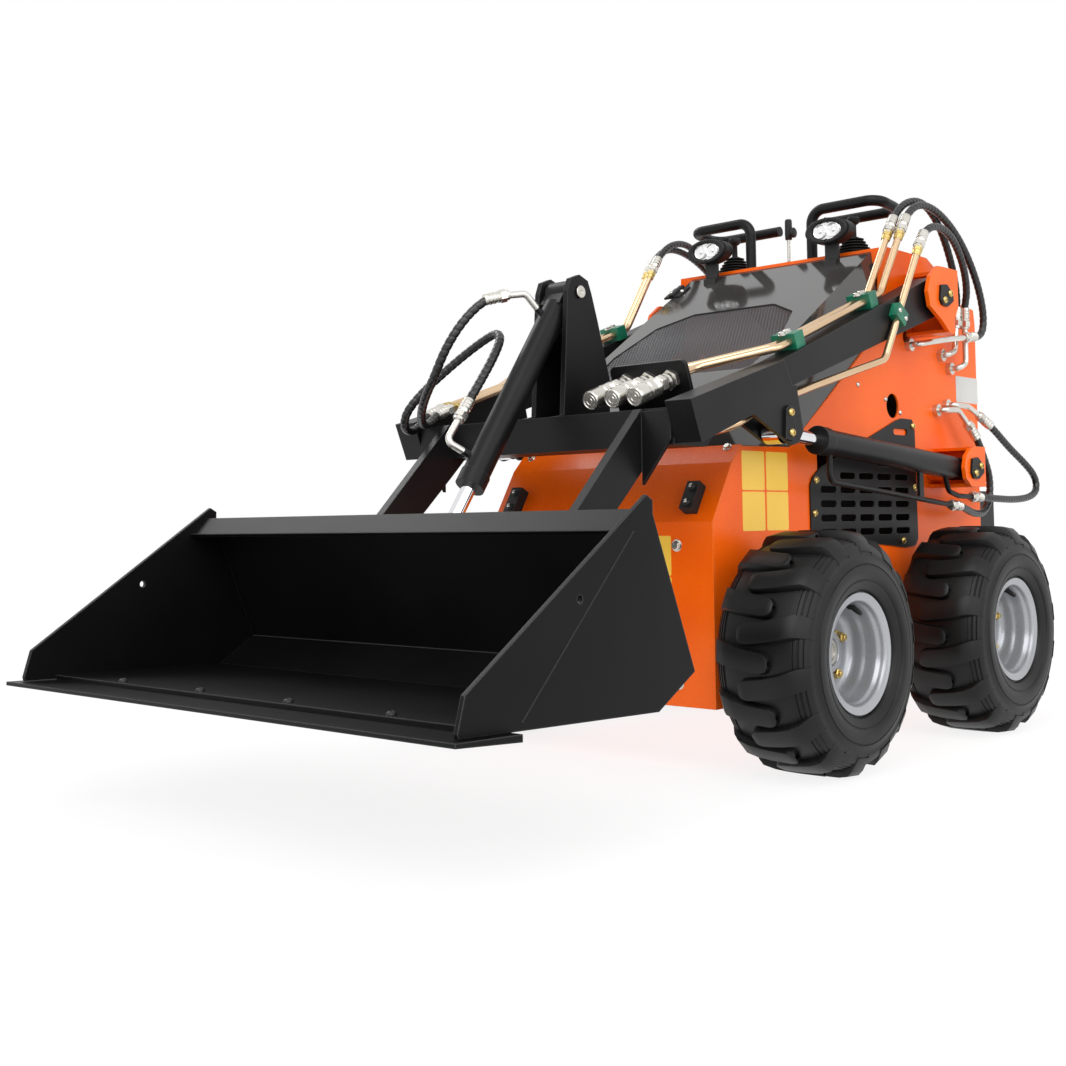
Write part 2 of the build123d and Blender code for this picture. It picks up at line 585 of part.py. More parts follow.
with BuildPart() as boom_pins:
    for s in (1, -1):
        # the pin stands in its two plates and leaves the rod's eye free between them
        for low, high in ((ARM_IN - 4, ARM_IN + 10), (ARM_OUT - 2, PLATE_OUT)):
            x0, x1 = sorted((s * low, s * high))
            rod(x0, x1, ry, rz, PIN_R)
        k0, k1 = sorted((s * PLATE_OUT, s * (PLATE_OUT + 6)))
        slab(k0, k1, [(ry - 18, rz - 16), (ry - 14, rz + 42), (ry - 4, rz + 50), (ry + 12, rz + 46),
                      (ry + 20, rz - 4), (ry + 8, rz - 20)])
    rod(-EAR_OUT - 4, EAR_OUT + 4, my, mz, PIN_R)
save(boom_pins.part, "boom_pins")

# ---------------------------------------------------------------- cylinders
LIFT_LENGTH = hypot(BASE_PIN[0] - ROD_PIN[0], BASE_PIN[1] - ROD_PIN[1])
TILT_LENGTH = hypot(MAST_PIN[0] - TILT_PIN[0], MAST_PIN[1] - TILT_PIN[1])
print("lift cylinder", round(LIFT_LENGTH, 2), "tilt cylinder", round(TILT_LENGTH, 2))


def barrel(x, base, tip, length, r, cap_r, eye_half, eye_r, first, bore):
    """Cylinder tube from its base eye, bored for its rod."""
    axis = along(x, base, tip)
    ring(axis, first, length, r)
    ring(axis, length - 30, length, cap_r)
    with BuildSketch(axis) as neck:
        Rectangle(2 * eye_half, 2 * eye_r * 0.8)
    extrude(neck.sketch, amount=first + 8)
    rod(x - eye_half, x + eye_half, base[0], base[1], eye_r)
    rod(x - eye_half - 1, x + eye_half + 1, base[0], base[1], PIN_R + EYE_GAP, mode=Mode.SUBTRACT)
    ring(axis, first + 16, length - 40, bore, mode=Mode.SUBTRACT)
    ring(axis, length - 41, length + 1, 14.3, mode=Mode.SUBTRACT)


def ram(x, tip, base, length, eye_half, eye_r, piston):
    """Rod from its eye, with the piston at its far end."""
    axis = along(x, tip, base)
    ring(axis, 12, length, 14)
    ring(axis, length - 24, length, piston)
    rod(x - eye_half, x + eye_half, tip[0], tip[1], eye_r)
    rod(x - eye_half - 1, x + eye_half + 1, tip[0], tip[1], PIN_R + EYE_GAP, mode=Mode.SUBTRACT)


# oil tubes under a lift cylinder, from its ports to the hoses
TUBE_R = 6.0
FRONT_TUBE = [(LIFT_X, 106, 630), (LIFT_X, 104, 566), (LIFT_X, 655, 517)]
REAR_TUBE = [(LIFT_X, 622, 590), (LIFT_X, 640, 550), (LIFT_X, 690, 539), (LIFT_X, 765, 537)]
for hand, s in (("left", 1), ("right", -1)):
    with BuildPart() as lift_barrel:
        for route in (FRONT_TUBE, REAR_TUBE):
            pipe([(s * x, y, z) for x, y, z in route], TUBE_R, [20] * (len(route) - 2))
        with BuildSketch(Plane(origin=(s * LIFT_X, 500, 532), z_dir=(0, 0, 1))) as stay:
            Rectangle(8, 18)
        extrude(stay.sketch, amount=66)
        barrel(s * LIFT_X, BASE_PIN, ROD_PIN, 634, 27, 30, 18, 27, 36, 21.3)
    save(lift_barrel.part, "lift_barrel_" + hand)
    with BuildPart() as lift_rod:
        ram(s * LIFT_X, ROD_PIN, BASE_PIN, 676, 18, 25, 21)
    save(lift_rod.part, "lift_rod_" + hand)

# oil ports of the tilt cylinder, with their elbows toward the hoses
TILT_PORTS = [
    [(-8, -352, 902), (-24, -392, 950), (-44, -432, 944)],
    [(-14, -552, 615), (-38, -600, 646), (-42, -560, 694)],
]
ELBOW_R = 7.0
with BuildPart() as tilt_barrel:
    for route in TILT_PORTS:
        pipe(route, ELBOW_R, [14])
    barrel(0, MAST_PIN, TILT_PIN, 481, 27, 29, 26, 27, 34, 21.3)
save(tilt_barrel.part, "tilt_barrel")
with BuildPart() as tilt_rod:
    ram(0, TILT_PIN, MAST_PIN, 525, 21, 25, 21)
save(tilt_rod.part, "tilt_rod")

# ---------------------------------------------------------------- bucket
# inner line of the sheet from the lip under the floor, up the back, to the folded top edge
SHELL_LINE = [(-1100, 219), (-743, 210), (-663, 262), (-756, 500), (-775, 500), (-808, 470)]
with BuildPart() as bucket_shell:
    slab(-BUCKET_HALF, BUCKET_HALF, band(SHELL_LINE, -BUCKET_SHEET))
save(bucket_shell.part, "bucket_shell")

with BuildPart() as bucket_sides:
    for x in (-BUCKET_HALF - BUCKET_SHEET, BUCKET_HALF):
        slab(x, x + BUCKET_SHEET, [(-1162, 220), (-1160, 213.2), (-1062, 210.6), (-745, 202.3), (-653, 255), (-752, 500),
                        (-752, 521), (-766, 529), (-1148, 268)], [(-921, 380, 6)])
save(bucket_sides.part, "bucket_sides")

with BuildPart() as cutting_edge:
    slab(-EDGE_HALF, EDGE_HALF, [(-1183, 206), (-1060, 199), (-1060, 209.8), (-1183, 212.9)])
save(cutting_edge.part, "cutting_edge")

# quick-attach plate on the bucket's back, with ears round the legs and the tilt rod
ty, tz = TILT_PIN
PLATE_LINE = [(-655.5, 265), (-729.0, 453)]
with BuildPart() as bucket_mount:
    slab(-400, 400, band(PLATE_LINE, -12))
    for s in (1, -1):
        for low in (LEG_IN - 14, LEG_OUT + 2):
            x0, x1 = sorted((s * low, s * (low + 12)))
            slab(x0, x1, [(-662, 300), (qy + 8, qz - 28), (qy + 26, qz - 10), (qy + 26, qz + 10),
                          (qy + 6, qz + 28), (-692, 376)],
                 [(qy, qz, PIN_R + PIN_GAP)])
        e0, e1 = sorted((s * 26, s * 38))
        slab(e0, e1, [(-696, 390), (ty + 12, tz - 26), (ty + 24, tz - 8), (ty + 20, tz + 14),
                      (ty, tz + 24), (ty - 20, tz + 20), (-721, 452)],
             [(ty, tz, PIN_R + PIN_GAP)])
save(bucket_mount.part, "bucket_mount")

# pins of the bucket: whole through the legs, stubs in the ears beside the tilt rod's eye
with BuildPart() as bucket_pins:
    for s in (1, -1):
        p0, p1 = sorted((s * (LEG_IN - 18), s * (LEG_OUT + 18)))
        rod(p0, p1, qy, qz, PIN_R)
        e0, e1 = sorted((s * 24, s * 42))
        rod(e0, e1, ty, tz, PIN_R)
save(bucket_pins.part, "bucket_pins")

# ---------------------------------------------------------------- hoses
HOSE_R = 9.0
NUT_R = 15.0
END_GAP = 0.3                # hose end to its fitting
# elbows, from the body's side to the hose's end
ELBOWS = [
    [(BODY_HALF, 753, 888), (322, 753, 888), (324, 788, 900), (324, 800, 967)],
    [(BODY_HALF, 590, 900), (332, 590, 900), (352, 668, 914), (358, 782, 930)],
    [(BODY_HALF, 797, 858), (332, 797, 858), (336, 822, 872), (337, 820, 966)],
    [(BODY_HALF, 720, 750), (328, 720, 750), (335, 775, 751), (343, 812, 716)],
    [(BODY_HALF, 773, 765), (328, 773, 765), (333, 835, 763), (346, 872, 739)],
]
with BuildPart() as hose_elbows:
    for s in (1, -1):
        for route in ELBOWS:
            pipe([(s * x, y, z) for x, y, z in route], ELBOW_R, [min(14, r) for r in fillet_radii(route)])
            x, y, z = route[0]
            n0, n1 = sorted((s * BODY_HALF, s * (BODY_HALF + 12)))
            rod(n0, n1, y, z, NUT_R)
save(hose_elbows.part, "hose_elbows")


def beyond(inner, end, reach):
    """Point past a fitting's end, in line with it, to a tenth of a millimetre."""
    way = (Vector(*end) - Vector(*inner)).normalized()
    point = Vector(*end) + way * reach
    return (round(point.X, 1), round(point.Y, 1), round(point.Z, 1))


def hose_route(start, middle, finish):
    """A hose from one fitting to another; each fitting is (its inner point, its end, reach)."""
    return [beyond(*start[:2], END_GAP), beyond(*start), *middle, beyond(*finish), beyond(*finish[:2], END_GAP)]


def far(route, reach):
    return (route[-2], route[-1], reach)


def near(route, reach):
    return (route[1], route[0], reach)


UPPER_HOSES = [
    hose_route(near(LINES[0], 44),
               [(346, 512, 1226), (349, 588, 1240), (348, 664, 1206), (344, 720, 1150), (338, 764, 1094),
                (331, 794, 1040)], far(ELBOWS[0], 34)),
    hose_route(near(LINES[1], 44),
               [(370, 534, 1224), (371, 632, 1216), (370, 736, 1168), (367, 822, 1090), (363, 872, 1012),
                (360, 876, 956), (359, 846, 936)], far(ELBOWS[1], 30)),
    hose_route(near(LINES[2], 40),
               [(399, 560, 1172), (392, 652, 1158), (377, 738, 1106), (358, 796, 1048)], far(ELBOWS[2], 40)),
]
LOWER_HOSES = [
    hose_route(far(ELBOWS[3], 36),
               [(351, 878, 634), (350, 902, 579), (349, 896, 518), (351, 856, 474), (359, 785, 466)],
               ((LIFT_X, 104, 566), FRONT_TUBE[-1], 44)),
    hose_route(far(ELBOWS[4], 40),
               [(358, 1011, 664), (366, 1090, 624), (370, 1138, 592), (373, 1140, 556), (376, 1088, 537),
                (379, 984, 530), (379, 876, 533)], (REAR_TUBE[-2], REAR_TUBE[-1], 44)),
]
TILT_HOSES = [
    hose_route(far(TILT_PORTS[0], 34),
               [(-84, -500, 900), (-110, -530, 840), (-138, -538, 780), (-184, -526, 734), (-232, -490, 702),
                (-280, -432, 694)],
               far(LINES[3], 36)),
    hose_route(far(TILT_PORTS[1], 34),
               [(-46, -496, 772), (-50, -456, 822), (-66, -420, 862), (-98, -400, 878), (-136, -400, 866),
                (-180, -414, 838), (-222, -438, 800), (-256, -466, 760), (-282, -488, 718), (-302, -472, 686),
                (-318, -428, 686)],
               far(LINES[4], 34)),
]
UPPER_RIGHT = 2              # the right arm has its two inner lines only
HOSE_NODES = [
    ("upper_hoses_left", 1, UPPER_HOSES),
    ("upper_hoses_right", -1, UPPER_HOSES[:UPPER_RIGHT]),
    ("lower_hoses_left", 1, LOWER_HOSES),
    ("lower_hoses_right", -1, LOWER_HOSES),
    ("tilt_hoses", 1, TILT_HOSES),
]
for name, s, routes in HOSE_NODES:
    with BuildPart() as hoses:
        for route in routes:
            points = [(s * x, y, z) for x, y, z in route]
            pipe(points, HOSE_R)
            print(name, [tuple(p) for p in points], "radii", [round(r) for r in fillet_radii(points)])
    lengths = [round(solid.volume / (pi * HOSE_R ** 2)) for solid in hoses.part.solids()]
    print(name, "lengths", lengths)
    save(hoses.part, name)
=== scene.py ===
# %% [markdown]
# A compact wheeled skid steer loader, dressed for a studio picture.
# The imported model gives every plate, pin and cylinder at its true place, in metres.
# This script adds finishes, tyres with tread, wrapped hoses and the small fittings, and each
# piece but the hose tubes rides on the body that carries it, so the machine still moves at its
# joints.

# %% Load the imported model
import json
from math import cos, pi, radians, sin

import bpy
from mathutils import Matrix, Vector

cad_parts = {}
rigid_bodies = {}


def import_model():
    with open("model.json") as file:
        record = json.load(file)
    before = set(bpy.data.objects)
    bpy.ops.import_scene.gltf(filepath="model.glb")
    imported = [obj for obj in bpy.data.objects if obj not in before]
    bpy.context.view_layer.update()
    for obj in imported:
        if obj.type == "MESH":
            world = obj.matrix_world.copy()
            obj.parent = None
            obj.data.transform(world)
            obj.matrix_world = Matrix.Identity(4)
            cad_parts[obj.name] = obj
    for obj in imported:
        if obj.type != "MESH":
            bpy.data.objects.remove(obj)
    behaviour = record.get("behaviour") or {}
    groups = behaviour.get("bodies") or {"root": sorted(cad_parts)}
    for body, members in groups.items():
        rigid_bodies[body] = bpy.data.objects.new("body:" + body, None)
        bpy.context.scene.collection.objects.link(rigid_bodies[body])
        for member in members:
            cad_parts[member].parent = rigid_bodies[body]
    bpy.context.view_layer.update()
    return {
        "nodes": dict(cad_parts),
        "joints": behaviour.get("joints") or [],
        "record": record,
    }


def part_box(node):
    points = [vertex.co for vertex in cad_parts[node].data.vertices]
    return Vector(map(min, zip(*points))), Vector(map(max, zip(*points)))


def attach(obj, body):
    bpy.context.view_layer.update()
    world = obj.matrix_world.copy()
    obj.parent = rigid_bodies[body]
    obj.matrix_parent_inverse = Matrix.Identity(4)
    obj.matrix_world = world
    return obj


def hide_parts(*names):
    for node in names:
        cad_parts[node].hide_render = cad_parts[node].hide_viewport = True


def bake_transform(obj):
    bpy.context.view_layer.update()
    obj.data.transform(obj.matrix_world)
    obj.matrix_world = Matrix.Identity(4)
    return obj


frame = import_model()
nodes = frame["nodes"]
scene_objects = bpy.context.scene.collection.objects

# %% [markdown]
# ## Camera
# A camera is a place, three turns and a lens. It stands low in front of the machine's left side
# and looks slightly up. The shift slides the picture on the sensor, as a view camera does,
# so that upright edges stay upright.

# %% Camera
EYE = Vector((1.8701, -2.3887, 0.489))
YAW, PITCH, ROLL = 0.72597, 0.05531, -0.01449
ahead = Vector((-sin(YAW) * cos(PITCH), cos(YAW) * cos(PITCH), sin(PITCH)))
level = Vector((cos(YAW), sin(YAW), 0.0))
upward = level.cross(ahead)
right = level * cos(ROLL) + upward * sin(ROLL)
up = upward * cos(ROLL) - level * sin(ROLL)
lens = bpy.data.cameras.new("camera")
lens.sensor_width = 36.0
lens.lens = 46.468
lens.shift_x, lens.shift_y = -0.0373, -0.0815
lens.clip_end = 100.0
camera = bpy.data.objects.new("camera", lens)
camera.matrix_world = Matrix((
    (right.x, up.x, -ahead.x, EYE.x), (right.y, up.y, -ahead.y, EYE.y),
    (right.z, up.z, -ahead.z, EYE.z),
    (0.0, 0.0, 0.0, 1.0)))
scene_objects.link(camera)
bpy.context.scene.camera = camera
bpy.context.scene.view_settings.view_transform = "Standard"

# %% [markdown]
# ## Studio
# A white world lights the machine from all round, as a tent of white cloth does, and it is what
# the glossy paint mirrors. Two suns with very wide discs add a little direction: the wider
# the angle, the softer the edge of the shadow. A third one is seen only in reflections, like a
# bright panel behind the machine's far side, and puts a sheen on the sloping plates.
# The floor glows a little, like a lit white table, so only the closest shadows stay.

# %% Floor, world and lamps
def clear():
    """Leaves nothing selected, because an operator acts on all that is selected."""
    if bpy.context.object and bpy.context.object.mode != "OBJECT":
        bpy.ops.object.mode_set(mode="OBJECT")
    bpy.ops.object.select_all(action="DESELECT")


def sun_lamp(name, toward, angle, strength):
    """A sun that shines along a direction; its angle sets how soft its shadows are."""
    light = bpy.data.lights.new(name, "SUN")
    light.angle = radians(angle)
    light.energy = strength
    lamp = bpy.data.objects.new(name, light)
    lamp.rotation_euler = Vector(toward).to_track_quat("-Z", "Y").to_euler()
    scene_objects.link(lamp)
    return lamp


clear()
bpy.ops.mesh.primitive_plane_add(size=60.0)
floor = bpy.context.object
floor.name = "studio_floor"
world = bpy.data.worlds.new("studio")
bpy.context.scene.world = world
world.use_nodes = True
world.node_tree.nodes["Background"].inputs["Color"].default_value = (1.0, 1.0, 1.0, 1.0)
world.node_tree.nodes["Background"].inputs["Strength"].default_value = 1.0
sun_lamp("key_sun", (-0.4, 0.62, -0.62), 50.0, 1.5)
sun_lamp("side_sun", (-0.92, 0.06, -0.3), 50.0, 0.8)
sun_lamp("sheen_sun", (0.74, -0.1, -0.66), 20.0, 0.45).visible_diffuse = False

# %% [markdown]
# ## Finishes
# Every finish here is a Principled shader whose colour and roughness drift a little with noise,
# with a fine bump on top. Real paint is never perfectly even: sprayed paint has orange peel,
# rubber has dust in its grain, plated steel has faint clouds. A Bevel node rounds the light on
# the sheared edges of painted plate, as a thick coat of paint does, and where its normal leaves
# the face's own normal a lighter tone is painted on: a painted highlight along the edge.

# %% A helper that makes such a finish
MIX_FACTOR, MIX_A, MIX_B, MIX_RESULT = 0, 6, 7, 2          # the colour sockets of a Mix node


def link(source, output, target, socket):
    """Joins one shader node's output to a socket of another."""
    source.id_data.links.new(source.outputs[output], target.inputs[socket])


def mixer(mask, plain, plain_output, colour):
    """A shader node that goes from a plain colour to another one where the mask rises."""
    mix = mask.id_data.nodes.new("ShaderNodeMix")
    mix.data_type = "RGBA"
    link(mask, "Result", mix, MIX_FACTOR)
    link(plain, plain_output, mix, MIX_A)
    mix.inputs[MIX_B].default_value = (*colour, 1.0)
    return mix


def finish(name, dark, light, rough, metal=0.0, coat=0.0, cloud=6.0, grain=260.0, bump=0.02,
           gloss=0.5, soft=0.0, painted_edge_highlight=None):
    """Colour dark to light, roughness rough[0] to rough[1], fine bump, soft edges, painted edge
    highlight.

    One number for a colour is a grey.
    """
    if isinstance(dark, float):
        dark, light = (dark,) * 3, (light,) * 3
    made = bpy.data.materials.new(name)
    made.use_nodes = True
    add = made.node_tree.nodes.new
    shader = made.node_tree.nodes["Principled BSDF"]
    for socket, value in (("Metallic", metal), ("Coat Weight", coat), ("Coat Roughness", 0.08),
                          ("Specular IOR Level", gloss)):
        shader.inputs[socket].default_value = value
    where = add("ShaderNodeTexCoord")
    clouds, grains = add("ShaderNodeTexNoise"), add("ShaderNodeTexNoise")
    for noise, scale, detail in ((clouds, cloud, 6.0), (grains, grain, 3.0)):
        noise.inputs["Scale"].default_value = scale
        noise.inputs["Detail"].default_value = detail
        link(where, "Object", noise, "Vector")
    ramp = add("ShaderNodeValToRGB")
    for stop, position, colour in zip(ramp.color_ramp.elements, (0.35, 0.68), (dark, light)):
        stop.position, stop.color = position, (*colour, 1.0)
    link(clouds, "Fac", ramp, "Fac")
    link(ramp, "Color", shader, "Base Color")
    spread = add("ShaderNodeMapRange")
    spread.inputs["To Min"].default_value, spread.inputs["To Max"].default_value = rough
    link(grains, "Fac", spread, "Value")
    link(spread, "Result", shader, "Roughness")
    relief = add("ShaderNodeBump")
    relief.inputs["Strength"].default_value = bump
    relief.inputs["Distance"].default_value = 0.002
    link(grains, "Fac", relief, "Height")
    link(relief, "Normal", shader, "Normal")
    if soft:
        edges = add("ShaderNodeBevel")
        edges.samples = 4
        edges.inputs["Radius"].default_value = soft
        link(edges, "Normal", relief, "Normal")
    # Where the bevelled normal leaves the face's own normal, a lighter colour is painted on: a
    # painted highlight along the edge.
    if soft and painted_edge_highlight:
        plain, likeness = add("ShaderNodeNewGeometry"), add("ShaderNodeVectorMath")
        likeness.operation = "DOT_PRODUCT"
        link(edges, "Normal", likeness, 0)
        link(plain, "Normal", likeness, 1)
        edge_highlight_mask = add("ShaderNodeMapRange")
        edge_highlight_mask.inputs["From Min"].default_value = 0.985
        edge_highlight_mask.inputs["From Max"].default_value = 0.8
        link(likeness, "Value", edge_highlight_mask, "Value")
        link(mixer(edge_highlight_mask, ramp, "Color", painted_edge_highlight), MIX_RESULT, shader, "Base Color")
    return made


# %% The finishes, by the record's slot names
# The last colour in a painted plate's settings is a lighter tone painted on its edges as a
# highlight.
LOOKS = {
    "orange_paint": ((0.82, 0.102, 0.001), (0.9, 0.128, 0.002), (0.22, 0.34), dict(
        gloss=0.25, soft=0.002, painted_edge_highlight=(0.92, 0.22, 0.03), grain=420.0, bump=0.015)),
    "black_paint": ((0.004, 0.004, 0.0044), (0.008, 0.008, 0.0086), (0.32, 0.44), dict(
        gloss=0.2, soft=0.0024, painted_edge_highlight=(0.055, 0.055, 0.057), grain=500.0, bump=0.03)),
    "hood_black": ((0.036, 0.034, 0.033), (0.044, 0.042, 0.041), (0.07, 0.11), dict(
        gloss=0.9, grain=300.0, bump=0.008)),
    "bucket_black": ((0.0018, 0.0018, 0.002), (0.0045, 0.0045, 0.005), (0.36, 0.5), dict(
        gloss=0.14, soft=0.0032, painted_edge_highlight=(0.075, 0.076, 0.08), cloud=3.0, grain=420.0, bump=0.03)),
    "mesh_steel": ((0.15, 0.15, 0.155), (0.21, 0.21, 0.215), (0.3, 0.42), dict(
        metal=0.5, gloss=0.4)),
    "lamp_black": (0.006, 0.012, (0.42, 0.56), dict(gloss=0.4, bump=0.06)),
    "rubber_black": (0.006, 0.012, (0.5, 0.65), dict(gloss=0.35, bump=0.08)),
    "engine_grey": (0.008, 0.018, (0.5, 0.7), dict(gloss=0.2, bump=0.2)),
    "plain_steel": ((0.42, 0.4, 0.36), (0.6, 0.58, 0.53), (0.28, 0.42), dict(metal=0.9)),
    "silver_steel": ((0.62, 0.6, 0.55), (0.72, 0.7, 0.65), (0.2, 0.3), dict(
        metal=0.95, cloud=18.0, bump=0.004)),
    "zinc_line": ((0.66, 0.46, 0.28), (0.74, 0.54, 0.35), (0.2, 0.28), dict(
        metal=0.92, cloud=4.0, bump=0.003)),
    "rod_chrome": ((0.72, 0.72, 0.74), (0.8, 0.8, 0.82), (0.05, 0.1), dict(
        metal=1.0, grain=900.0, bump=0.004)),
    "rim_silver": ((0.3, 0.31, 0.33), (0.38, 0.39, 0.41), (0.24, 0.34), dict(
        metal=0.6, grain=500.0, bump=0.02)),
    "tyre_rubber": ((0.0028, 0.0028, 0.0028), (0.007, 0.0069, 0.0067), (0.34, 0.5), dict(
        gloss=0.26, cloud=10.0, grain=320.0, bump=0.05)),
    "hose_black": (0.004, 0.009, (0.24, 0.36), dict(gloss=0.55, cloud=60.0, bump=0.02)),
    "clamp_green": ((0.0, 0.1, 0.055), (0.004, 0.16, 0.085), (0.3, 0.45), dict(
        cloud=30.0, bump=0.05)),
}
FINISHES = {name: finish(name, dark, light, rough, **more)
            for name, (dark, light, rough, more) in LOOKS.items()}
BRASS = finish("brass_zinc", (0.5, 0.36, 0.12), (0.7, 0.53, 0.21), (0.2, 0.34), metal=0.95)
PALE_FLOOR = finish("pale_floor", 0.15, 0.16, (0.8, 0.9), gloss=0.0, bump=0.0)
glow = PALE_FLOOR.node_tree.nodes["Principled BSDF"]
glow.inputs["Emission Color"].default_value = (1.0, 1.0, 1.0, 1.0)
glow.inputs["Emission Strength"].default_value = 0.85
YELLOW_FILM = finish("yellow_film", (0.86, 0.52, 0.05), (0.9, 0.57, 0.07), (0.28, 0.4), bump=0.01)
WHITE_FILM = finish("white_film", (0.46, 0.46, 0.45), (0.54, 0.54, 0.52), (0.35, 0.45), bump=0.01)
floor.data.materials.append(PALE_FLOOR)
for part in frame["record"]["subparts"]:
    node = nodes[part["node"]]
    node.data.materials.clear()
    node.data.materials.append(FINISHES[part["material_slot"]])
# The keeper plates over the lift rods' pins are painted black like the arms.
nodes["boom_pins"].data.materials[0] = FINISHES["black_paint"]
print(len(FINISHES), "finishes on", len(nodes), "nodes")

# %% [markdown]
# ## Working habits
# Small helpers keep the lesson short. `settle` puts a finished piece on its body and bakes its
# place into its mesh. `lathe` turns a profile, drawn as one edge after another, about the X axis,
# as a wood turner would. `copied` makes a copy with a mesh of its own, moved by a matrix.

# %% Helpers for new pieces
SIDES = ((1, "left"), (-1, "right"))
CORNERS = [(end + "_" + hand, s) for end in ("front", "rear") for s, hand in SIDES]
MIRROR_X = Matrix.Scale(-1, 4, (1, 0, 0))


def pick(piece):
    """Leaves only this piece selected and active."""
    clear()
    piece.select_set(True)
    bpy.context.view_layer.objects.active = piece


def editing(select=None):
    """Goes into edit mode, with all or nothing selected if asked."""
    bpy.ops.object.mode_set(mode="EDIT")
    if select:
        bpy.ops.mesh.select_all(action=select)


def edit_top(piece, reach):
    """From edit mode, selects only the top faces whose middle is within reach of the centre."""
    bpy.ops.mesh.select_mode(type="FACE")
    bpy.ops.mesh.select_all(action="DESELECT")
    bpy.ops.object.mode_set(mode="OBJECT")
    for face in piece.data.polygons:
        face.select = face.normal.z > 0.9 and abs(face.center.x) < reach
    editing()


def faces_out():
    """Turns every face outward and leaves edit mode."""
    bpy.ops.mesh.select_all(action="SELECT")
    bpy.ops.mesh.normals_make_consistent(inside=False)
    bpy.ops.object.mode_set(mode="OBJECT")


def settle(piece, name, body, slot_name=None, material=None):
    """Bakes the piece's place, names it, and lets it ride on its body."""
    pick(piece)
    bpy.ops.object.transform_apply(location=True, rotation=True, scale=True)
    piece.name = name
    piece.data.name = name
    piece.data.materials.clear()
    piece.data.materials.append(material or FINISHES[slot_name])
    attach(piece, body)
    return piece


def lathe(profile, steps=48, closed=False, soft=None):
    """A mesh turned about X from (x, radius) points; closed joins the last point to the first.

    Edges that turn by less than soft degrees are shaded smooth.
    """
    clear()
    bpy.ops.mesh.primitive_plane_add(size=0.001)
    turned = bpy.context.object
    editing()
    bpy.ops.mesh.select_mode(type="VERT")
    bpy.ops.mesh.merge(type="CENTER")
    x, r = profile[0]
    bpy.ops.transform.translate(value=(x, 0.0, r))
    line = list(profile[1:]) + ([profile[0]] if closed else [])
    for next_x, next_r in line:
        step = (next_x - x, 0.0, next_r - r)
        bpy.ops.mesh.extrude_region_move(TRANSFORM_OT_translate={"value": step})
        x, r = next_x, next_r
    bpy.ops.mesh.select_all(action="SELECT")
    bpy.ops.mesh.remove_doubles(threshold=1e-6)
    bpy.ops.mesh.spin(steps=steps, angle=2 * pi, center=(0.0, 0.0, 0.0), axis=(1.0, 0.0, 0.0))
    bpy.ops.mesh.select_all(action="SELECT")
    bpy.ops.mesh.remove_doubles(threshold=1e-5)
    faces_out()
    if soft:
        smooth(turned, soft)
    return turned


def copied(piece, matrix):
    """A copy with its own mesh, moved by a matrix."""
    twin = piece.copy()
    twin.data = piece.data.copy()
    twin.data.transform(matrix)
    if matrix.determinant() < 0:
        twin.data.flip_normals()
    scene_objects.link(twin)
    return twin


def joined(pieces):
    """One object of all the pieces."""
    clear()
    for piece in pieces:
        piece.select_set(True)
    bpy.context.view_layer.objects.active = pieces[0]
    if len(pieces) > 1:
        bpy.ops.object.join()
    return bpy.context.object


def forget(*pieces):
    """Removes pieces that were only patterns for copies."""
    for piece in pieces:
        bpy.data.objects.remove(piece, do_unlink=True)


def smooth(piece, angle):
    """Shades smooth across edges that turn by less than the angle in degrees."""
    pick(piece)
    bpy.ops.object.shade_smooth_by_angle(angle=radians(angle))


def applied(piece, kind, **settings):
    """Adds a modifier, sets it up and applies it."""
    pick(piece)
    modifier = piece.modifiers.new(kind.lower(), kind)
    for key, value in settings.items():
        setattr(modifier, key, value)
    bpy.ops.object.modifier_apply(modifier=modifier.name)


def at(x, y, z):
    """Matrix that moves a piece to a place."""
    return Matrix.Translation((x, y, z))


def pointing(place, toward):
    """Matrix that puts a piece made along +X at place, with its X toward a direction."""
    turn = Vector(toward).to_track_quat("X", "Z").to_matrix().to_4x4()
    return Matrix.Translation(place) @ turn


def middle(node):
    """The middle of a node's box."""
    low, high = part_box(node)
    return (low + high) / 2


# %% [markdown]
# ## Tyres
# A loader tyre is a soft drum with thick slanted lugs that start past the middle and fold over the
# shoulder. The two rows are staggered by half a pitch. The carcass is turned on the lathe, one lug
# is bent from a small grid and then copied round, and the four wheels share the result.

# %% Tyre carcass
tyre_low, tyre_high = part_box("tyre_front_left")
TYRE_R = (tyre_high.z - tyre_low.z) / 2
OUT = (tyre_high.x - tyre_low.x) / 2          # the bulge of the side, from the middle plane
LUG_HIGH = 0.0125
LUGS = 14
# The tread's edge and shoulder ribs: x and drop from the tread. The side: inset from the bulge
# and radius, down to the bead.
SHOULDER = [
    (0.0, LUG_HIGH), (0.036, LUG_HIGH + 0.001), (0.062, LUG_HIGH + 0.004), (0.0725, 0.02),
    (0.073, 0.018), (0.076, 0.019), (0.0765, 0.0215), (0.0795, 0.023), (0.08, 0.0207),
    (0.083, 0.0221), (0.0835, 0.025), (0.0865, 0.027), (0.087, 0.0246), (0.09, 0.0266),
    (0.0905, 0.03), (0.0935, 0.033), (0.094, 0.0308), (0.0962, 0.034)]
SIDE = [
    (0.0085, 0.194), (0.0062, 0.1885), (0.007, 0.1862), (0.0035, 0.176), (0.0016, 0.17),
    (0.003, 0.1688), (0.0028, 0.1674), (0.0008, 0.1662), (0.0002, 0.158), (0.0012, 0.148),
    (0.0034, 0.1405), (0.0052, 0.1396), (0.0054, 0.138), (0.0044, 0.137), (0.0062, 0.13),
    (0.009, 0.1255), (0.0096, 0.1225), (0.0126, 0.12), (0.018, 0.1185), (0.0185, 0.1013)]
half_profile = ([(x, TYRE_R - drop) for x, drop in SHOULDER]
                + [(OUT - inset, r) for inset, r in SIDE])
carcass_line = [(-x, r) for x, r in half_profile[::-1]] + half_profile[1:]
carcass = lathe(carcass_line, steps=112, closed=True, soft=50)

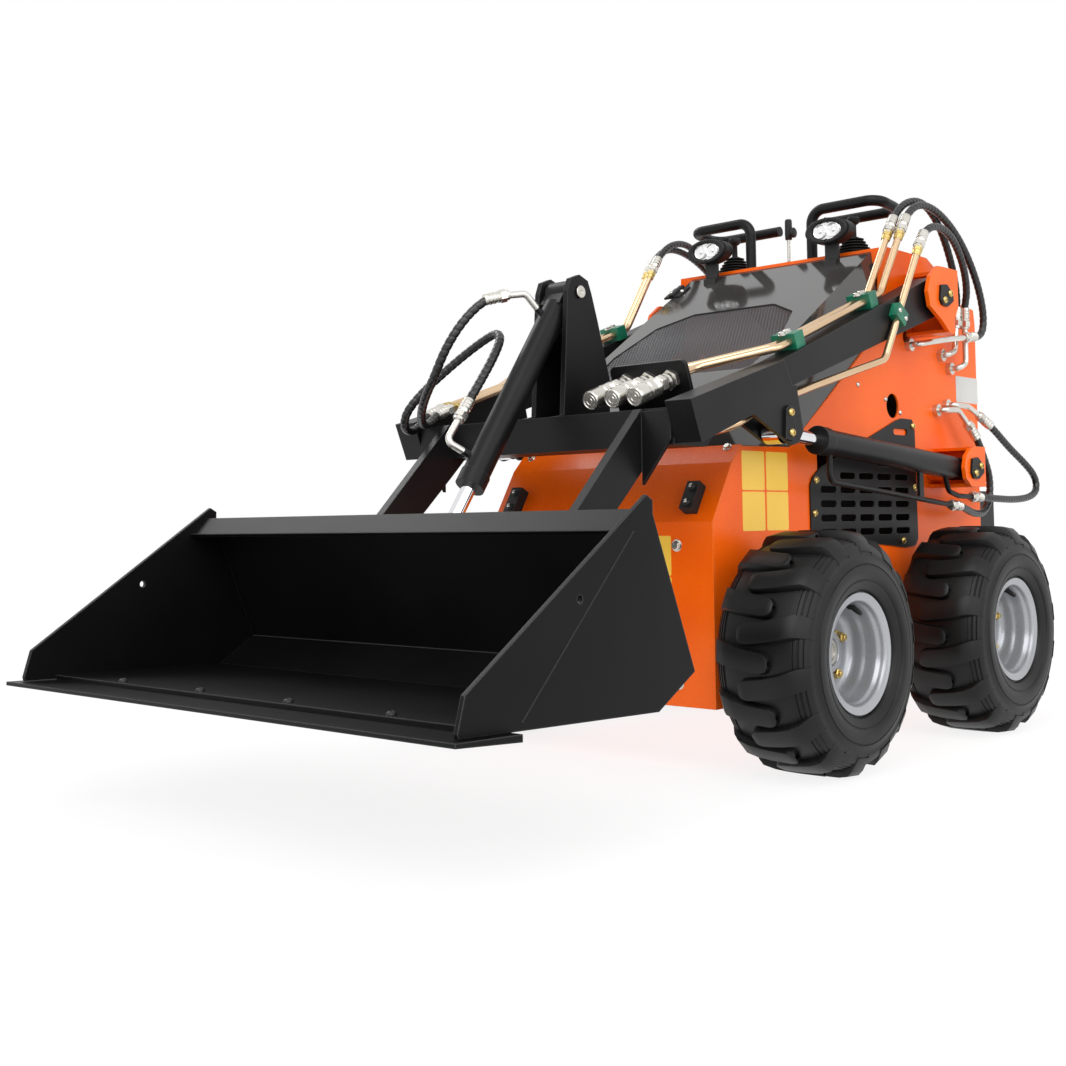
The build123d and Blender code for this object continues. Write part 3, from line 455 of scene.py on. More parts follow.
# %% One lug, then the two staggered rows
# Across the tyre: x, radius of the top, drop to its foot, half width, lead along the tread.
STATIONS = [
    (-0.0345, TYRE_R - 0.0022, 0.014, 0.003, -0.004),
    (-0.0332, TYRE_R - 0.0012, 0.014, 0.0085, -0.004),
    (-0.0295, TYRE_R - 0.0004, 0.015, 0.0138, -0.004),
    (-0.0235, TYRE_R, 0.015, 0.0172, -0.003),
    (-0.016, TYRE_R, 0.015, 0.0187, -0.003),
    (-0.005, TYRE_R, 0.015, 0.019, -0.002),
    (0.026, TYRE_R, 0.015, 0.0192, 0.002),
    (0.054, TYRE_R - 0.001, 0.016, 0.0198, 0.008),
    (0.0765, TYRE_R - 0.005, 0.02, 0.0212, 0.015),
    (0.087, TYRE_R - 0.015, 0.022, 0.0222, 0.018),
    (0.0968, 0.202, 0.014, 0.0222, 0.019),
    (0.1008, 0.193, 0.007, 0.0212, 0.019)]
clear()
bpy.ops.mesh.primitive_grid_add(x_subdivisions=len(STATIONS) - 1, y_subdivisions=3, size=1.0)
lug = bpy.context.object
FLARE = 0.0045          # how much wider a lug is at its foot, to each side
lug_rows = sorted(lug.data.vertices, key=lambda v: (round(v.co.x, 4), round(v.co.y, 4)))
for index, vertex in enumerate(lug_rows):
    x, top, drop, half, lead = STATIONS[index // 4]
    place = index % 4
    side = (-1, -1, 1, 1)[place]
    foot = place in (0, 3)
    radius = top - drop if foot else top
    along = lead + side * (half + FLARE if foot else half)
    angle = along / TYRE_R
    vertex.co = (x, radius * sin(angle), radius * cos(angle))
editing("SELECT")
bpy.ops.mesh.extrude_region_move(TRANSFORM_OT_translate={"value": (0.0, 0.0, 0.0)})
bpy.ops.transform.resize(value=(0.97, 0.98, 0.955))
faces_out()
applied(lug, "BEVEL", width=0.0035, segments=2, limit_method="ANGLE", angle_limit=radians(35))
smooth(lug, 60.0)
row = []
for number in range(LUGS):
    turn = 2 * pi * number / LUGS
    row.append(copied(lug, Matrix.Rotation(turn, 4, "X")))
    row.append(copied(lug, Matrix.Rotation(turn + pi / LUGS, 4, "X") @ MIRROR_X))
forget(lug)
tyre = joined([carcass] + row)
print("tyre faces", len(tyre.data.polygons))

# %% Four tyres
for corner, s in CORNERS:
    place = Matrix.Translation(middle("tyre_" + corner))
    rubber = copied(tyre, place if s > 0 else place @ MIRROR_X)
    settle(rubber, "tread_" + corner, "wheel_" + corner, "tyre_rubber")
    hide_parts("tyre_" + corner)
forget(tyre)

# %% [markdown]
# ## Hoses
# Each hydraulic hose is a fixed length of rubber with a plastic spiral wrapped round it. Its line
# is a NURBS curve drawn toward listed control points, which start in line with the fitting.
# The wrap is made by letting the radius rise and fall along a helix: its ridges catch the light.

# %% Hose routes in millimetres, for the left side; the right side is its mirror image
HOSE_R = 0.009
HOSE_STEP = 0.0023          # length of one ring of faces along a hose
UPPER_ROUTES = [
    [(344, 431.2, 1145.2), (344, 455.3, 1181.7), (346, 512, 1226), (349, 588, 1240),
     (348, 664, 1206), (344, 720, 1150), (338, 764, 1094), (331, 794, 1040), (324, 806, 1000.5),
     (324, 800.1, 967.3)],
    [(368, 444.2, 1146.3), (368, 468.2, 1182.8), (370, 534, 1224), (371, 632, 1216),
     (370, 736, 1168), (367, 822, 1090), (363, 872, 1012), (360, 876, 956), (359, 846, 936),
     (359.6, 811.7, 934.2), (358, 782.3, 930)],
    [(401, 465.2, 1108.3), (401, 486.1, 1142), (399, 560, 1172), (392, 652, 1158),
     (377, 738, 1106), (358, 796, 1048), (337.4, 819.1, 1006), (337, 820, 966.3)],
]
LOWER_ROUTES = [
    [(343, 812.2, 715.8), (348.6, 837.8, 691.6), (351, 878, 634), (350, 908, 588), (349, 908, 534),
     (349, 870, 496), (357, 792, 496), (370, 704, 515.2), (370, 655.3, 517)],
    [(346.1, 872.2, 738.8), (357.3, 904.2, 718.1), (358, 1011, 664), (366, 1090, 624),
     (370, 1138, 592), (373, 1140, 556), (376, 1088, 537), (379, 984, 530), (379, 876, 533),
     (370, 809, 535.8), (370, 765.3, 537)],
]
TILT_ROUTES = [
    [(-44.1, -432.3, 944), (-59.1, -462.1, 939.5), (-84, -500, 900), (-110, -530, 840),
     (-138, -538, 780), (-184, -526, 734), (-232, -490, 702), (-280, -432, 694),
     (-304, -374.1, 724.5), (-304, -340.3, 735.9)],
    [(-42, -559.8, 694.2), (-44.2, -538.3, 720.1), (-46, -496, 772), (-50, -456, 822),
     (-66, -420, 862), (-98, -400, 878), (-136, -400, 866), (-180, -414, 838), (-222, -438, 800),
     (-256, -466, 760), (-282, -488, 718), (-302, -472, 686), (-318, -428, 686),
     (-326, -377.3, 727.2), (-326, -345.3, 737.9)],
]

UPPER_LONG = (0.56, 0.69, 0.485)
LOWER_LONG = (0.493, 0.714)
TILT_LONG = (0.541, 0.706)
HOSES = []          # name, CAD node, route, length, side, body at its start, body at its end
for s, hand in SIDES:
    for number, route in enumerate(UPPER_ROUTES[:3 if s == 1 else 2]):
        HOSES.append(("upper_hose_%d_%s" % (number + 1, hand), "upper_hoses_" + hand, route,
                      UPPER_LONG[number], s, "boom", "chassis"))
    for number, route in enumerate(LOWER_ROUTES):
        HOSES.append(("lower_hose_%d_%s" % (number + 1, hand), "lower_hoses_" + hand, route,
                      LOWER_LONG[number], s, "chassis", "lift_cylinder_" + hand))
for number, route in enumerate(TILT_ROUTES):
    HOSES.append(("tilt_hose_%d" % (number + 1), "tilt_hoses", route, TILT_LONG[number], 1,
                  "tilt_cylinder", "boom"))
print(len(HOSES), "hoses")


# %% A smooth line through a route, and a tube with a spiral wrap along it
def smooth_line(name, route):
    """Points read from the route's NURBS spline."""
    curve = bpy.data.curves.new(name, "CURVE")
    curve.dimensions = "3D"
    spline = curve.splines.new("NURBS")
    spline.points.add(len(route) - 1)
    for point, place in zip(spline.points, route):
        point.co = (*place, 1.0)
    spline.order_u = 3
    spline.use_endpoint_u = True
    spline.resolution_u = 20
    holder = bpy.data.objects.new(name, curve)
    scene_objects.link(holder)
    bpy.context.view_layer.update()
    shaped = holder.evaluated_get(bpy.context.evaluated_depsgraph_get())
    mesh = bpy.data.meshes.new_from_object(shaped)
    line = [vertex.co.copy() for vertex in mesh.vertices]
    forget(holder)
    return line


def even_steps(line, step):
    """The same line cut into even steps, with its total length."""
    total = sum((b - a).length for a, b in zip(line, line[1:]))
    count = max(2, round(total / step))
    points, walked, index = [line[0].copy()], 0.0, 0
    for number in range(1, count):
        wanted = total * number / count
        while walked + (line[index + 1] - line[index]).length < wanted:
            walked += (line[index + 1] - line[index]).length
            index += 1
        gap = line[index + 1] - line[index]
        points.append(line[index] + gap * ((wanted - walked) / gap.length))
    points.append(line[-1].copy())
    return points, total


def wrapped_tube(name, points, total, sides=14, pitch=0.015, deep=0.0018):
    """A tube whose radius rises and falls along a helix, closed at both ends."""
    rings = len(points)
    clear()
    bpy.ops.mesh.primitive_grid_add(x_subdivisions=rings - 1, y_subdivisions=sides, size=1.0)
    tube = bpy.context.object
    order = sorted(range(len(tube.data.vertices)), key=lambda i: (
        round(tube.data.vertices[i].co.x, 5), round(tube.data.vertices[i].co.y, 5)))
    across = (points[1] - points[0]).orthogonal().normalized()
    for ring in range(rings):
        ahead_point, back_point = points[min(ring + 1, rings - 1)], points[max(ring - 1, 0)]
        way = (ahead_point - back_point).normalized()
        across = (across - way * across.dot(way)).normalized()
        other = way.cross(across)
        walked = total * ring / (rings - 1)
        for side in range(sides + 1):
            turn = side / sides
            phase = (walked / pitch - turn) % 1.0
            lift = min(1.0, max(0.0, 4.0 - 8.0 * abs(phase - 0.5)))
            r = HOSE_R - deep * (1.0 - lift)
            angle = 2 * pi * (turn % 1.0)
            vertex = tube.data.vertices[order[ring * (sides + 1) + side]]
            vertex.co = points[ring] + (across * cos(angle) + other * sin(angle)) * r
    editing("SELECT")
    bpy.ops.mesh.remove_doubles(threshold=1e-5)
    bpy.ops.mesh.select_all(action="DESELECT")
    bpy.ops.mesh.select_non_manifold(extend=False)
    bpy.ops.mesh.edge_face_add()
    faces_out()
    tube.name = name
    tube.data.name = name
    return tube


# %% [markdown]
# A crimped end fitting joins each hose to its pipe or elbow: a swivel nut with six flats, then a
# sleeve squeezed onto the rubber in ridges. It is turned on the lathe and the nut's six flats come
# from a lathe with only six steps.

# %% One end fitting, made along X with its nut at the origin
sleeve = lathe([(0.01, 0.0), (0.01, 0.0105), (0.012, 0.0118), (0.016, 0.0118), (0.0172, 0.0104),
                (0.02, 0.0104), (0.0212, 0.0122), (0.0252, 0.0122), (0.0264, 0.011),
                (0.0284, 0.011), (0.0296, 0.0122), (0.0336, 0.0122), (0.0348, 0.011),
                (0.0368, 0.011), (0.038, 0.012), (0.043, 0.0116), (0.044, 0.0104),
                (0.044, 0.0)], steps=24, soft=35)
nut = lathe([(-0.004, 0.0), (-0.004, 0.0115), (-0.0032, 0.0134), (0.0096, 0.0134),
             (0.0108, 0.0118), (0.0108, 0.0)], steps=6)
collar = lathe([(-0.01, 0.0), (-0.01, 0.0098), (-0.009, 0.0106), (-0.0035, 0.0106),
                (-0.0035, 0.0)], steps=20, soft=35)
end_fitting = joined([sleeve, nut, collar])
end_fitting.name = "end_fitting"

# %% Every hose, bent between its two bodies, and its two fittings
fittings = {}
for name, node, route, long, s, start_body, end_body in HOSES:
    places = [Vector((s * x / 1000, y / 1000, z / 1000)) for x, y, z in route]
    line, total = even_steps(smooth_line(name, places), HOSE_STEP)
    tube = wrapped_tube(name, line, total)
    smooth(tube, 60)
    tube.data.materials.append(FINISHES["hose_black"])
    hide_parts(node)
    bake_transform(tube)
    for body, place, toward in ((start_body, line[0], line[12] - line[0]),
                                (end_body, line[-1], line[-13] - line[-1])):
        fittings.setdefault(body, []).append(copied(end_fitting, pointing(place, toward)))
    print(name, "length", round(total, 3), "stated", long)
forget(end_fitting)
for body, group in fittings.items():
    settle(joined(group), "hose_ends_" + body, body, "silver_steel")

# %% [markdown]
# ## Wheels
# The rim is a pressed steel dish in two halves. Its barrel steps inward toward the disc, and its
# outer edge is rolled back to hold the tyre's bead. Four nuts on tapered seats hold it to the hub.

# %% A turned rim
rim_line = [
    (-0.092, 0.111), (-0.0925, 0.1145), (-0.0912, 0.115), (-0.0886, 0.112), (-0.088, 0.1012),
    (-0.03, 0.1), (-0.026, 0.096), (0.018, 0.096), (0.028, 0.1), (0.087, 0.1012), (0.0882, 0.112),
    (0.0895, 0.1146), (0.0908, 0.1154), (0.0921, 0.1146), (0.0924, 0.1126), (0.0914, 0.1104),
    (0.0898, 0.107), (0.089, 0.102), (0.0874, 0.0992), (0.0845, 0.098), (0.08, 0.0974),
    (0.077, 0.0962), (0.074, 0.0938), (0.0705, 0.0924), (0.061, 0.0916), (0.052, 0.091),
    (0.048, 0.0896), (0.044, 0.0878), (0.04, 0.0868), (0.032, 0.0858), (0.024, 0.0836),
    (0.019, 0.08), (0.016, 0.075), (0.0147, 0.069), (0.0145, 0.042), (0.0155, 0.0402),
    (0.0255, 0.04), (0.027, 0.0393), (0.0275, 0.038), (0.0275, 0.029), (0.026, 0.0275),
    (0.019, 0.0262), (-0.06, 0.0262), (-0.06, 0.044), (0.0065, 0.044), (0.0085, 0.07),
    (0.0165, 0.09), (-0.085, 0.095)]
rim = lathe(rim_line, steps=96, closed=True, soft=40)
hub = lathe([(-0.04, 0.0), (-0.04, 0.0255), (0.0245, 0.0255), (0.0257, 0.0243), (0.0257, 0.018),
             (0.023, 0.0165), (0.0227, 0.006), (0.0243, 0.0045), (0.0243, 0.0)], steps=40, soft=40)

# %% One wheel nut with its stud, and a valve
nut_body = lathe([(0.0, 0.0), (0.0, 0.0118), (0.0025, 0.0122), (0.003, 0.0104), (0.0135, 0.0104),
                  (0.015, 0.0088), (0.015, 0.0058), (0.015, 0.0)], steps=6)
nut_seat = lathe([(-0.002, 0.0), (-0.002, 0.0136), (0.0012, 0.0136), (0.0026, 0.0112),
                  (0.0026, 0.0)], steps=24, soft=35)
stud = lathe([(0.0145, 0.0), (0.0145, 0.0056), (0.019, 0.0056), (0.02, 0.0048),
              (0.02, 0.0)], steps=16, soft=35)
wheel_nut = joined([nut_body, nut_seat, stud])
valve = lathe([(0.0, 0.0), (0.0, 0.0085), (0.004, 0.0082), (0.008, 0.0056), (0.026, 0.005),
               (0.027, 0.004), (0.031, 0.004), (0.032, 0.0034), (0.032, 0.0)], steps=16, soft=35)

# %% Rims, hubs, nuts and valves on the four wheels
NUT_SEAT = at(0.015, 0.0, 0.05)
VALVE_SEAT = (Matrix.Rotation(radians(-15.0), 4, "X") @ at(0.056, 0.0, 0.0922)
              @ Matrix.Rotation(radians(32.0), 4, "Y"))
for corner, s in CORNERS:
    body = "wheel_" + corner
    face = Matrix.Translation(middle("tyre_" + corner))
    if s < 0:
        face = face @ Matrix.Rotation(pi, 4, "Z")
    dish = settle(copied(rim, face), "dish_" + corner, body, "rim_silver")
    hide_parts("rim_" + corner)
    settle(copied(hub, face), "hub_" + corner, body, "plain_steel")
    ring = []
    for number in range(4):
        turn = Matrix.Rotation(pi * number / 2 + radians(30.0), 4, "X")
        ring.append(copied(wheel_nut, face @ turn @ NUT_SEAT))
    settle(joined(ring), "wheel_nuts_" + corner, body, material=BRASS)
    settle(copied(valve, face @ VALVE_SEAT), "valve_" + corner, body, "rubber_black")
forget(rim, hub, wheel_nut, valve)

# %% [markdown]
# ## Bolts and screws
# Fasteners are what gives a machine its scale. Each kind is made once and copied to its places:
# a hexagon bolt on a washer, and a round-headed screw with a socket.

# %% A hexagon bolt and a round-headed screw, both along X
def hex_bolt(r, high):
    """Head of across-corners radius r on a washer, its top bevelled."""
    washer = lathe([(-0.0005, 0.0), (-0.0005, 1.28 * r), (0.0011, 1.28 * r), (0.0016, 1.2 * r),
                    (0.0016, 0.0)], steps=24, soft=35)
    head = lathe([(0.001, 0.0), (0.001, r), (high - 0.12 * r, r), (high, 0.84 * r),
                  (high, 0.0)], steps=6)
    return joined([head, washer])


def round_screw(r, high):
    """A domed head with a socket in its middle."""
    return lathe([(-0.0005, 0.0), (-0.0005, r), (0.2 * high, r), (0.62 * high, 0.86 * r),
                  (0.9 * high, 0.64 * r), (high, 0.44 * r), (high - 0.0003, 0.36 * r),
                  (0.45 * high, 0.34 * r), (0.45 * high, 0.0)], steps=24, soft=35)


BOLTS = {"m8": hex_bolt(0.0075, 0.0065), "m10": hex_bolt(0.0095, 0.008),
         "button": round_screw(0.0085, 0.0055), "small": round_screw(0.0058, 0.0042)}
bolt_groups = {}


def bolt(kind, place, toward, body, finish_name):
    """Notes one fastener; they are joined by body and finish at the end."""
    turned = copied(BOLTS[kind], pointing(Vector(place), toward))
    bolt_groups.setdefault((body, finish_name), []).append(turned)


# %% [markdown]
# ## Pivots
# Each pin is stopped from turning by a keeper plate, a thin teardrop held by two bolts.

# %% Bolts on the keeper plates and over the pins
JOINT = {joint["name"]: Vector(joint["pos_m"]) for joint in frame["joints"] if "pos_m" in joint}
LIFT_PIVOT = JOINT["boom_lift"]
BASE_PIVOT = JOINT["lift_cylinder_swing_left"]
MAST_PIVOT = JOINT["tilt_cylinder_swing"]
ROD_PIVOT = Vector((0.0, -0.095, 0.662))          # the lift rods' pins
keeper_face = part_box("chassis_pins")[1].x
rod_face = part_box("boom_pins")[1].x
for s in (1, -1):
    for pivot in (LIFT_PIVOT, BASE_PIVOT):
        for dy, dz in ((0.026, 0.006), (-0.002, -0.012)):
            place = (s * keeper_face, pivot.y + dy, pivot.z + dz)
            bolt("button", place, (s, 0, 0), "chassis", "brass")
    for dy, dz in ((0.002, 0.036), (0.004, -0.004)):
        place = (s * rod_face, ROD_PIVOT.y + dy, ROD_PIVOT.z + dz)
        bolt("button", place, (s, 0, 0), "boom", "brass")

# %% [markdown]
# The tilt cylinder is painted black, but the bent ports that leave its front side are bright
# steel. They are one solid with the barrel, so the finish itself changes with the distance from
# the cylinder's axis.

# %% A black finish that turns to steel away from the cylinder's axis
axis_way = Vector((0.0, -0.65 - MAST_PIVOT.y, 0.452 - MAST_PIVOT.z)).normalized()
axis_off = Vector((0.0, axis_way.z, -axis_way.y))          # from the axis to the ports' side
ports = FINISHES["black_paint"].copy()
ports.name = "black_paint_with_steel_ports"
add = ports.node_tree.nodes.new
shader = ports.node_tree.nodes["Principled BSDF"]
where, reach, fade = (add("ShaderNode" + kind) for kind in ("TexCoord", "VectorMath", "MapRange"))
reach.operation = "DOT_PRODUCT"
reach.inputs[1].default_value = axis_off
link(where, "Object", reach, 0)
skin = MAST_PIVOT.dot(axis_off) + 0.0355          # just outside the barrel
fade.inputs["From Min"].default_value = skin
fade.inputs["From Max"].default_value = skin + 0.0008
link(reach, "Value", fade, "Value")
# The black paint's colour, with its painted edge highlight, stays on the barrel itself.
paint_with_edge_highlight = shader.inputs["Base Color"].links[0].from_node
tone = mixer(fade, paint_with_edge_highlight, MIX_RESULT, (0.66, 0.64, 0.6))
link(tone, MIX_RESULT, shader, "Base Color")
link(fade, "Result", shader, "Metallic")
nodes["tilt_barrel"].data.materials[0] = ports

# %% Bolts of the side guards, the side panels and the front
guard_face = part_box("side_guards")[1].x
panel_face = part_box("chassis_shell")[1].x
front_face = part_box("front_panel")[0].y
for s in (1, -1):
    for y, z in ((0.15, 0.501), (0.158, 0.572), (0.536, 0.436), (0.597, 0.706), (0.36, 0.648),
                 (0.598, 0.56)):
        bolt("button", (s * guard_face, y, z), (s, 0, 0), "chassis", "brass")
    for kind, y, z in (("small", 0.35, 0.79), ("small", 0.475, 0.764), ("small", 0.543, 0.736),
                       ("m8", 0.925, 0.7), ("m8", 0.925, 0.32)):
        bolt(kind, (s * panel_face, y, z), (s, 0, 0), "chassis", "silver")
    bolt("m8", (s * 0.27, -0.118, 0.6347), (0, -0.727, 0.687), "chassis", "silver")
    for z in (0.4405, 0.17):
        bolt("m10", (s * 0.2127, front_face, z), (0, -1, 0), "chassis", "silver")

# %% [markdown]
# ## Plates
# The machine carries thin film plates. Here they are blank. Each is a rectangle with rounded
# corners, a fraction of a millimetre proud of the paint, like real vinyl.

# %% A film plate on a flat face
def film(name, place, wide, high, across, material, corner=0.004, thick=0.0005):
    """A thin upright plate centred at place; across is the way its width runs."""
    clear()
    bpy.ops.mesh.primitive_plane_add(size=1.0)
    plate = bpy.context.object
    plate.scale = (wide, high, 1.0)
    bpy.ops.object.transform_apply(scale=True)
    editing("SELECT")
    bpy.ops.mesh.bevel(offset=corner, segments=4, affect="VERTICES")
    bpy.ops.mesh.select_all(action="SELECT")
    bpy.ops.mesh.extrude_region_move(TRANSFORM_OT_translate={"value": (0.0, 0.0, thick)})
    faces_out()
    u, v = Vector(across), Vector((0, 0, 1))
    w = u.cross(v)
    plate.matrix_world = Matrix.Translation(place) @ Matrix((u, v, w)).transposed().to_4x4()
    return settle(plate, name, "chassis", material=material)


# %% Yellow and white plates
FILM_HIGH = 0.079
for s, hand in SIDES:
    for column, y in enumerate((-0.0735, 0.013)):
        for row_number, z in enumerate((0.506, 0.588)):
            film("yellow_film_%s_%d_%d" % (hand, column, row_number), (s * panel_face, y, z), 0.08,
                 FILM_HIGH, (0, s, 0), YELLOW_FILM)
    film("white_film_" + hand, (s * panel_face, 0.8975, 0.811), 0.121, 0.066, (0, s, 0),
         WHITE_FILM)
for column, z in enumerate((0.42, 0.3385)):
    film("yellow_film_front_%d" % column, (0.156, front_face, z), 0.084, FILM_HIGH, (1, 0, 0),
         YELLOW_FILM)

# %% [markdown]
# ## Hood window
# The window is covered by expanded steel mesh, whose diamonds are longer up the slope than
# across. A grid turned 45 degrees and stretched gives the diamonds, bisect cuts it to the sheet's
# size, and the wireframe modifier turns each edge of the grid into a thin square strand.

# %% Expanded mesh screen
HOOD_TILT = Matrix.Rotation(0.582, 4, "X")          # from level to the hood's slope
MESH_CELL, MESH_CELLS = 0.0082, 82
SHEET_LONG = 0.44          # up the slope
HEM = 0.003                 # from the sheet's edge to the first strand
low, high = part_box("mesh_screen")
clear()
bpy.ops.mesh.primitive_grid_add(x_subdivisions=MESH_CELLS, y_subdivisions=MESH_CELLS,
                                size=MESH_CELLS * MESH_CELL)
screen = bpy.context.object
screen.rotation_euler = (0.0, 0.0, pi / 4)
bpy.ops.object.transform_apply(rotation=True)
screen.scale = (0.75, 1.72, 1.0)
bpy.ops.object.transform_apply(scale=True)
editing()
for way, half in ((Vector((1, 0, 0)), (high.x - low.x) / 2 - HEM),
                  (Vector((0, 1, 0)), SHEET_LONG / 2 - HEM)):
    for s in (1, -1):
        bpy.ops.mesh.select_all(action="SELECT")
        bpy.ops.mesh.bisect(plane_co=way * s * half, plane_no=way * s, clear_outer=True)
bpy.ops.object.mode_set(mode="OBJECT")
applied(screen, "WIREFRAME", thickness=0.0019, use_boundary=True, use_even_offset=False)
screen.matrix_world = Matrix.Translation(middle("mesh_screen")) @ HOOD_TILT
settle(screen, "wire_screen", "chassis", "mesh_steel")
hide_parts("mesh_screen")

# %% [markdown]
# ## Lamps
# Each lamp is a cast oval housing with a rubber bezel. Inside, two bright bowls throw the light.
# The housing comes from the model; the bezel and face plate are turned and then squashed to an
# oval, and the bowls are turned.

# %% Lamp bezel, face and bowls
lamp_low, lamp_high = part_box("work_lamps")
LAMP_Y, LAMP_Z = lamp_low.y, lamp_high.z - 0.031
PAIR_X = 0.176          # lamps and travel sticks stand this far from the middle
bezel = lathe([(0.0, 0.03), (-0.003, 0.0308), (-0.0065, 0.03), (-0.0075, 0.028), (-0.0068, 0.024),
               (-0.005, 0.0218), (-0.001, 0.0204), (0.001, 0.021)],
              steps=56, closed=True, soft=60)
plate_face = lathe([(-0.0006, 0.0), (-0.0006, 0.0212), (0.0006, 0.0212), (0.0006, 0.0)], steps=56)
bowl = lathe([(-0.001, 0.0166), (-0.0045, 0.0174), (-0.005, 0.0166), (-0.0042, 0.0156),
              (-0.0026, 0.013), (-0.0017, 0.008), (-0.0015, 0.005), (-0.004, 0.0042),
              (-0.0048, 0.0026), (-0.005, 0.0)], steps=32, soft=60)
LAMP_CHROME = finish("lamp_chrome", (0.8, 0.8, 0.8), (0.92, 0.92, 0.92), (0.08, 0.16), metal=0.7,
                     grain=700.0, bump=0.01)
oval = Matrix.Scale(1.86, 4, (0, 1, 0))
for s, hand in SIDES:
    centre = at(s * PAIR_X, LAMP_Y, LAMP_Z) @ Matrix.Rotation(pi / 2, 4, "Z")
    settle(copied(bezel, centre @ oval), "lamp_bezel_" + hand, "chassis", "rubber_black")
    bright = [copied(plate_face, centre @ oval)]
    for side_y in (0.0178, -0.0178):
        bright.append(copied(bowl, centre @ at(0, side_y, 0)))
    settle(joined(bright), "lamp_bowls_" + hand, "chassis", material=LAMP_CHROME)
    for z in (0.0255, -0.0255):
        bolt("small", (s * PAIR_X, LAMP_Y - 0.0062, LAMP_Z + z), (0, -1, 0), "chassis", "black")
forget(bezel, plate_face, bowl)

# %% [markdown]
# ## Controls
# Each travel stick leaves the panel through a rubber bellows, whose folds let the stick lean.
# A thin bright lever between them ends in an upright grip with a round knob on its side.

# %% Bellows, sticks and lever
folds = [(1.129, 0.046), (1.133, 0.046)]
for number in range(5):
    z = 1.1345 + 0.0078 * number
    r = 0.044 - 0.0048 * number
    folds += [(z, r - 0.008), (z + 0.0022, r), (z + 0.004, r), (z + 0.0062, r - 0.009)]
folds += [(1.1745, 0.012), (1.176, 0.0085)]
bellows = lathe([(1.125, 0.0), (1.125, 0.0455)] + folds + [(1.176, 0.0)], steps=40, soft=50)
stick = lathe([(1.17, 0.0), (1.17, 0.0075), (1.205, 0.007), (1.208, 0.012), (1.212, 0.0158),
               (1.22, 0.016), (1.2245, 0.0135), (1.2258, 0.008), (1.226, 0.0)], steps=28, soft=60)
stand = Matrix.Rotation(-pi / 2, 4, "Y")
STICK_Y, LEVER_X = 0.566, -0.01
rubber = []
for s in (1, -1):
    for piece in (bellows, stick):
        rubber.append(copied(piece, at(s * PAIR_X, STICK_Y, 0.0) @ stand))
grip = lathe([(-0.026, 0.0), (-0.026, 0.0066), (-0.0245, 0.0086), (-0.01, 0.0094), (0.02, 0.009),
              (0.0245, 0.0084), (0.0265, 0.0066), (0.0265, 0.0)], steps=24, soft=50)
knob = lathe([(0.0065, 0.0), (0.0065, 0.005), (0.01, 0.005), (0.0105, 0.011), (0.012, 0.013),
              (0.0165, 0.013), (0.0178, 0.0115), (0.018, 0.0)], steps=24, soft=50)
boot = lathe([(1.125, 0.0), (1.125, 0.014), (1.131, 0.0138), (1.134, 0.01), (1.14, 0.0062),
              (1.142, 0.0)], steps=24, soft=50)
rubber.append(copied(grip, at(LEVER_X, STICK_Y, 1.222) @ stand))
rubber.append(copied(knob, at(LEVER_X, STICK_Y, 1.213)))
rubber.append(copied(boot, at(LEVER_X, STICK_Y, 0.0) @ stand))
controls = settle(joined(rubber), "stick_rubber", "chassis", "rubber_black")
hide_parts("control_sticks")
lever_rod = lathe([(1.14, 0.0), (1.14, 0.0042), (1.201, 0.0042), (1.201, 0.0)], steps=16,
                  soft=35)
lever_rod.matrix_world = at(LEVER_X, STICK_Y, 0.0) @ stand
settle(lever_rod, "lever_rod", "chassis", "silver_steel")
forget(bellows, stick, grip, knob, boot)

# %% [markdown]
# ## Quick couplers
# An attachment's hoses push onto these. Each has a knurled sleeve that slides back to let go, a
# hexagon to hold a spanner, and a moulded dust cap with rings on its face.

# %% One coupler, then three
LEAN = radians(19.6)
COUPLER_FOOT = Vector((0.0, -0.229 - 0.074 * sin(LEAN), 0.698 + 0.074 * cos(LEAN)))
body_line = [(-0.014, 0.0), (-0.014, 0.015), (-0.012, 0.0165), (0.0075, 0.0165), (0.029, 0.0165),
             (0.03, 0.0145), (0.033, 0.014), (0.0345, 0.015), (0.063, 0.015), (0.0645, 0.0185),
             (0.0655, 0.0196), (0.068, 0.02), (0.07, 0.0188), (0.072, 0.02), (0.074, 0.0188),
             (0.076, 0.02), (0.078, 0.0188), (0.08, 0.02), (0.094, 0.02), (0.096, 0.0178),
             (0.099, 0.0176), (0.101, 0.0192), (0.105, 0.02), (0.127, 0.02), (0.132, 0.0192),
             (0.134, 0.0176), (0.134, 0.016), (0.1326, 0.0152), (0.1326, 0.012), (0.1338, 0.0112),
             (0.1338, 0.0085), (0.1326, 0.0078), (0.1326, 0.005), (0.1338, 0.0042), (0.1338, 0.0)]
coupler_body = lathe(body_line, soft=30)
spanner_flats = lathe([(0.04, 0.0), (0.04, 0.0172), (0.0412, 0.0182), (0.056, 0.0182),
                       (0.0572, 0.0172), (0.0572, 0.0)], steps=6)
lock_ring = lathe([(0.008, 0.0), (0.008, 0.0205), (0.0092, 0.0212), (0.0188, 0.0212),
                   (0.02, 0.0205), (0.02, 0.0)], steps=6)
coupler = joined([coupler_body, spanner_flats, lock_ring])
group = []
for x in (0.133, 0.188, 0.243):
    spot = COUPLER_FOOT + Vector((x, 0, 0))
    group.append(copied(coupler, pointing(spot, (0, -cos(LEAN), -sin(LEAN)))))
forget(coupler)
couplers = settle(joined(group), "couplers_turned", "boom", "silver_steel")
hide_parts("quick_couplers")

# %% [markdown]
# ## Oil line fittings
# Where a steel line meets its hose there is a long brass-coloured union nut. The green clamps are
# moulded plastic halves, drawn together by two bolts each.

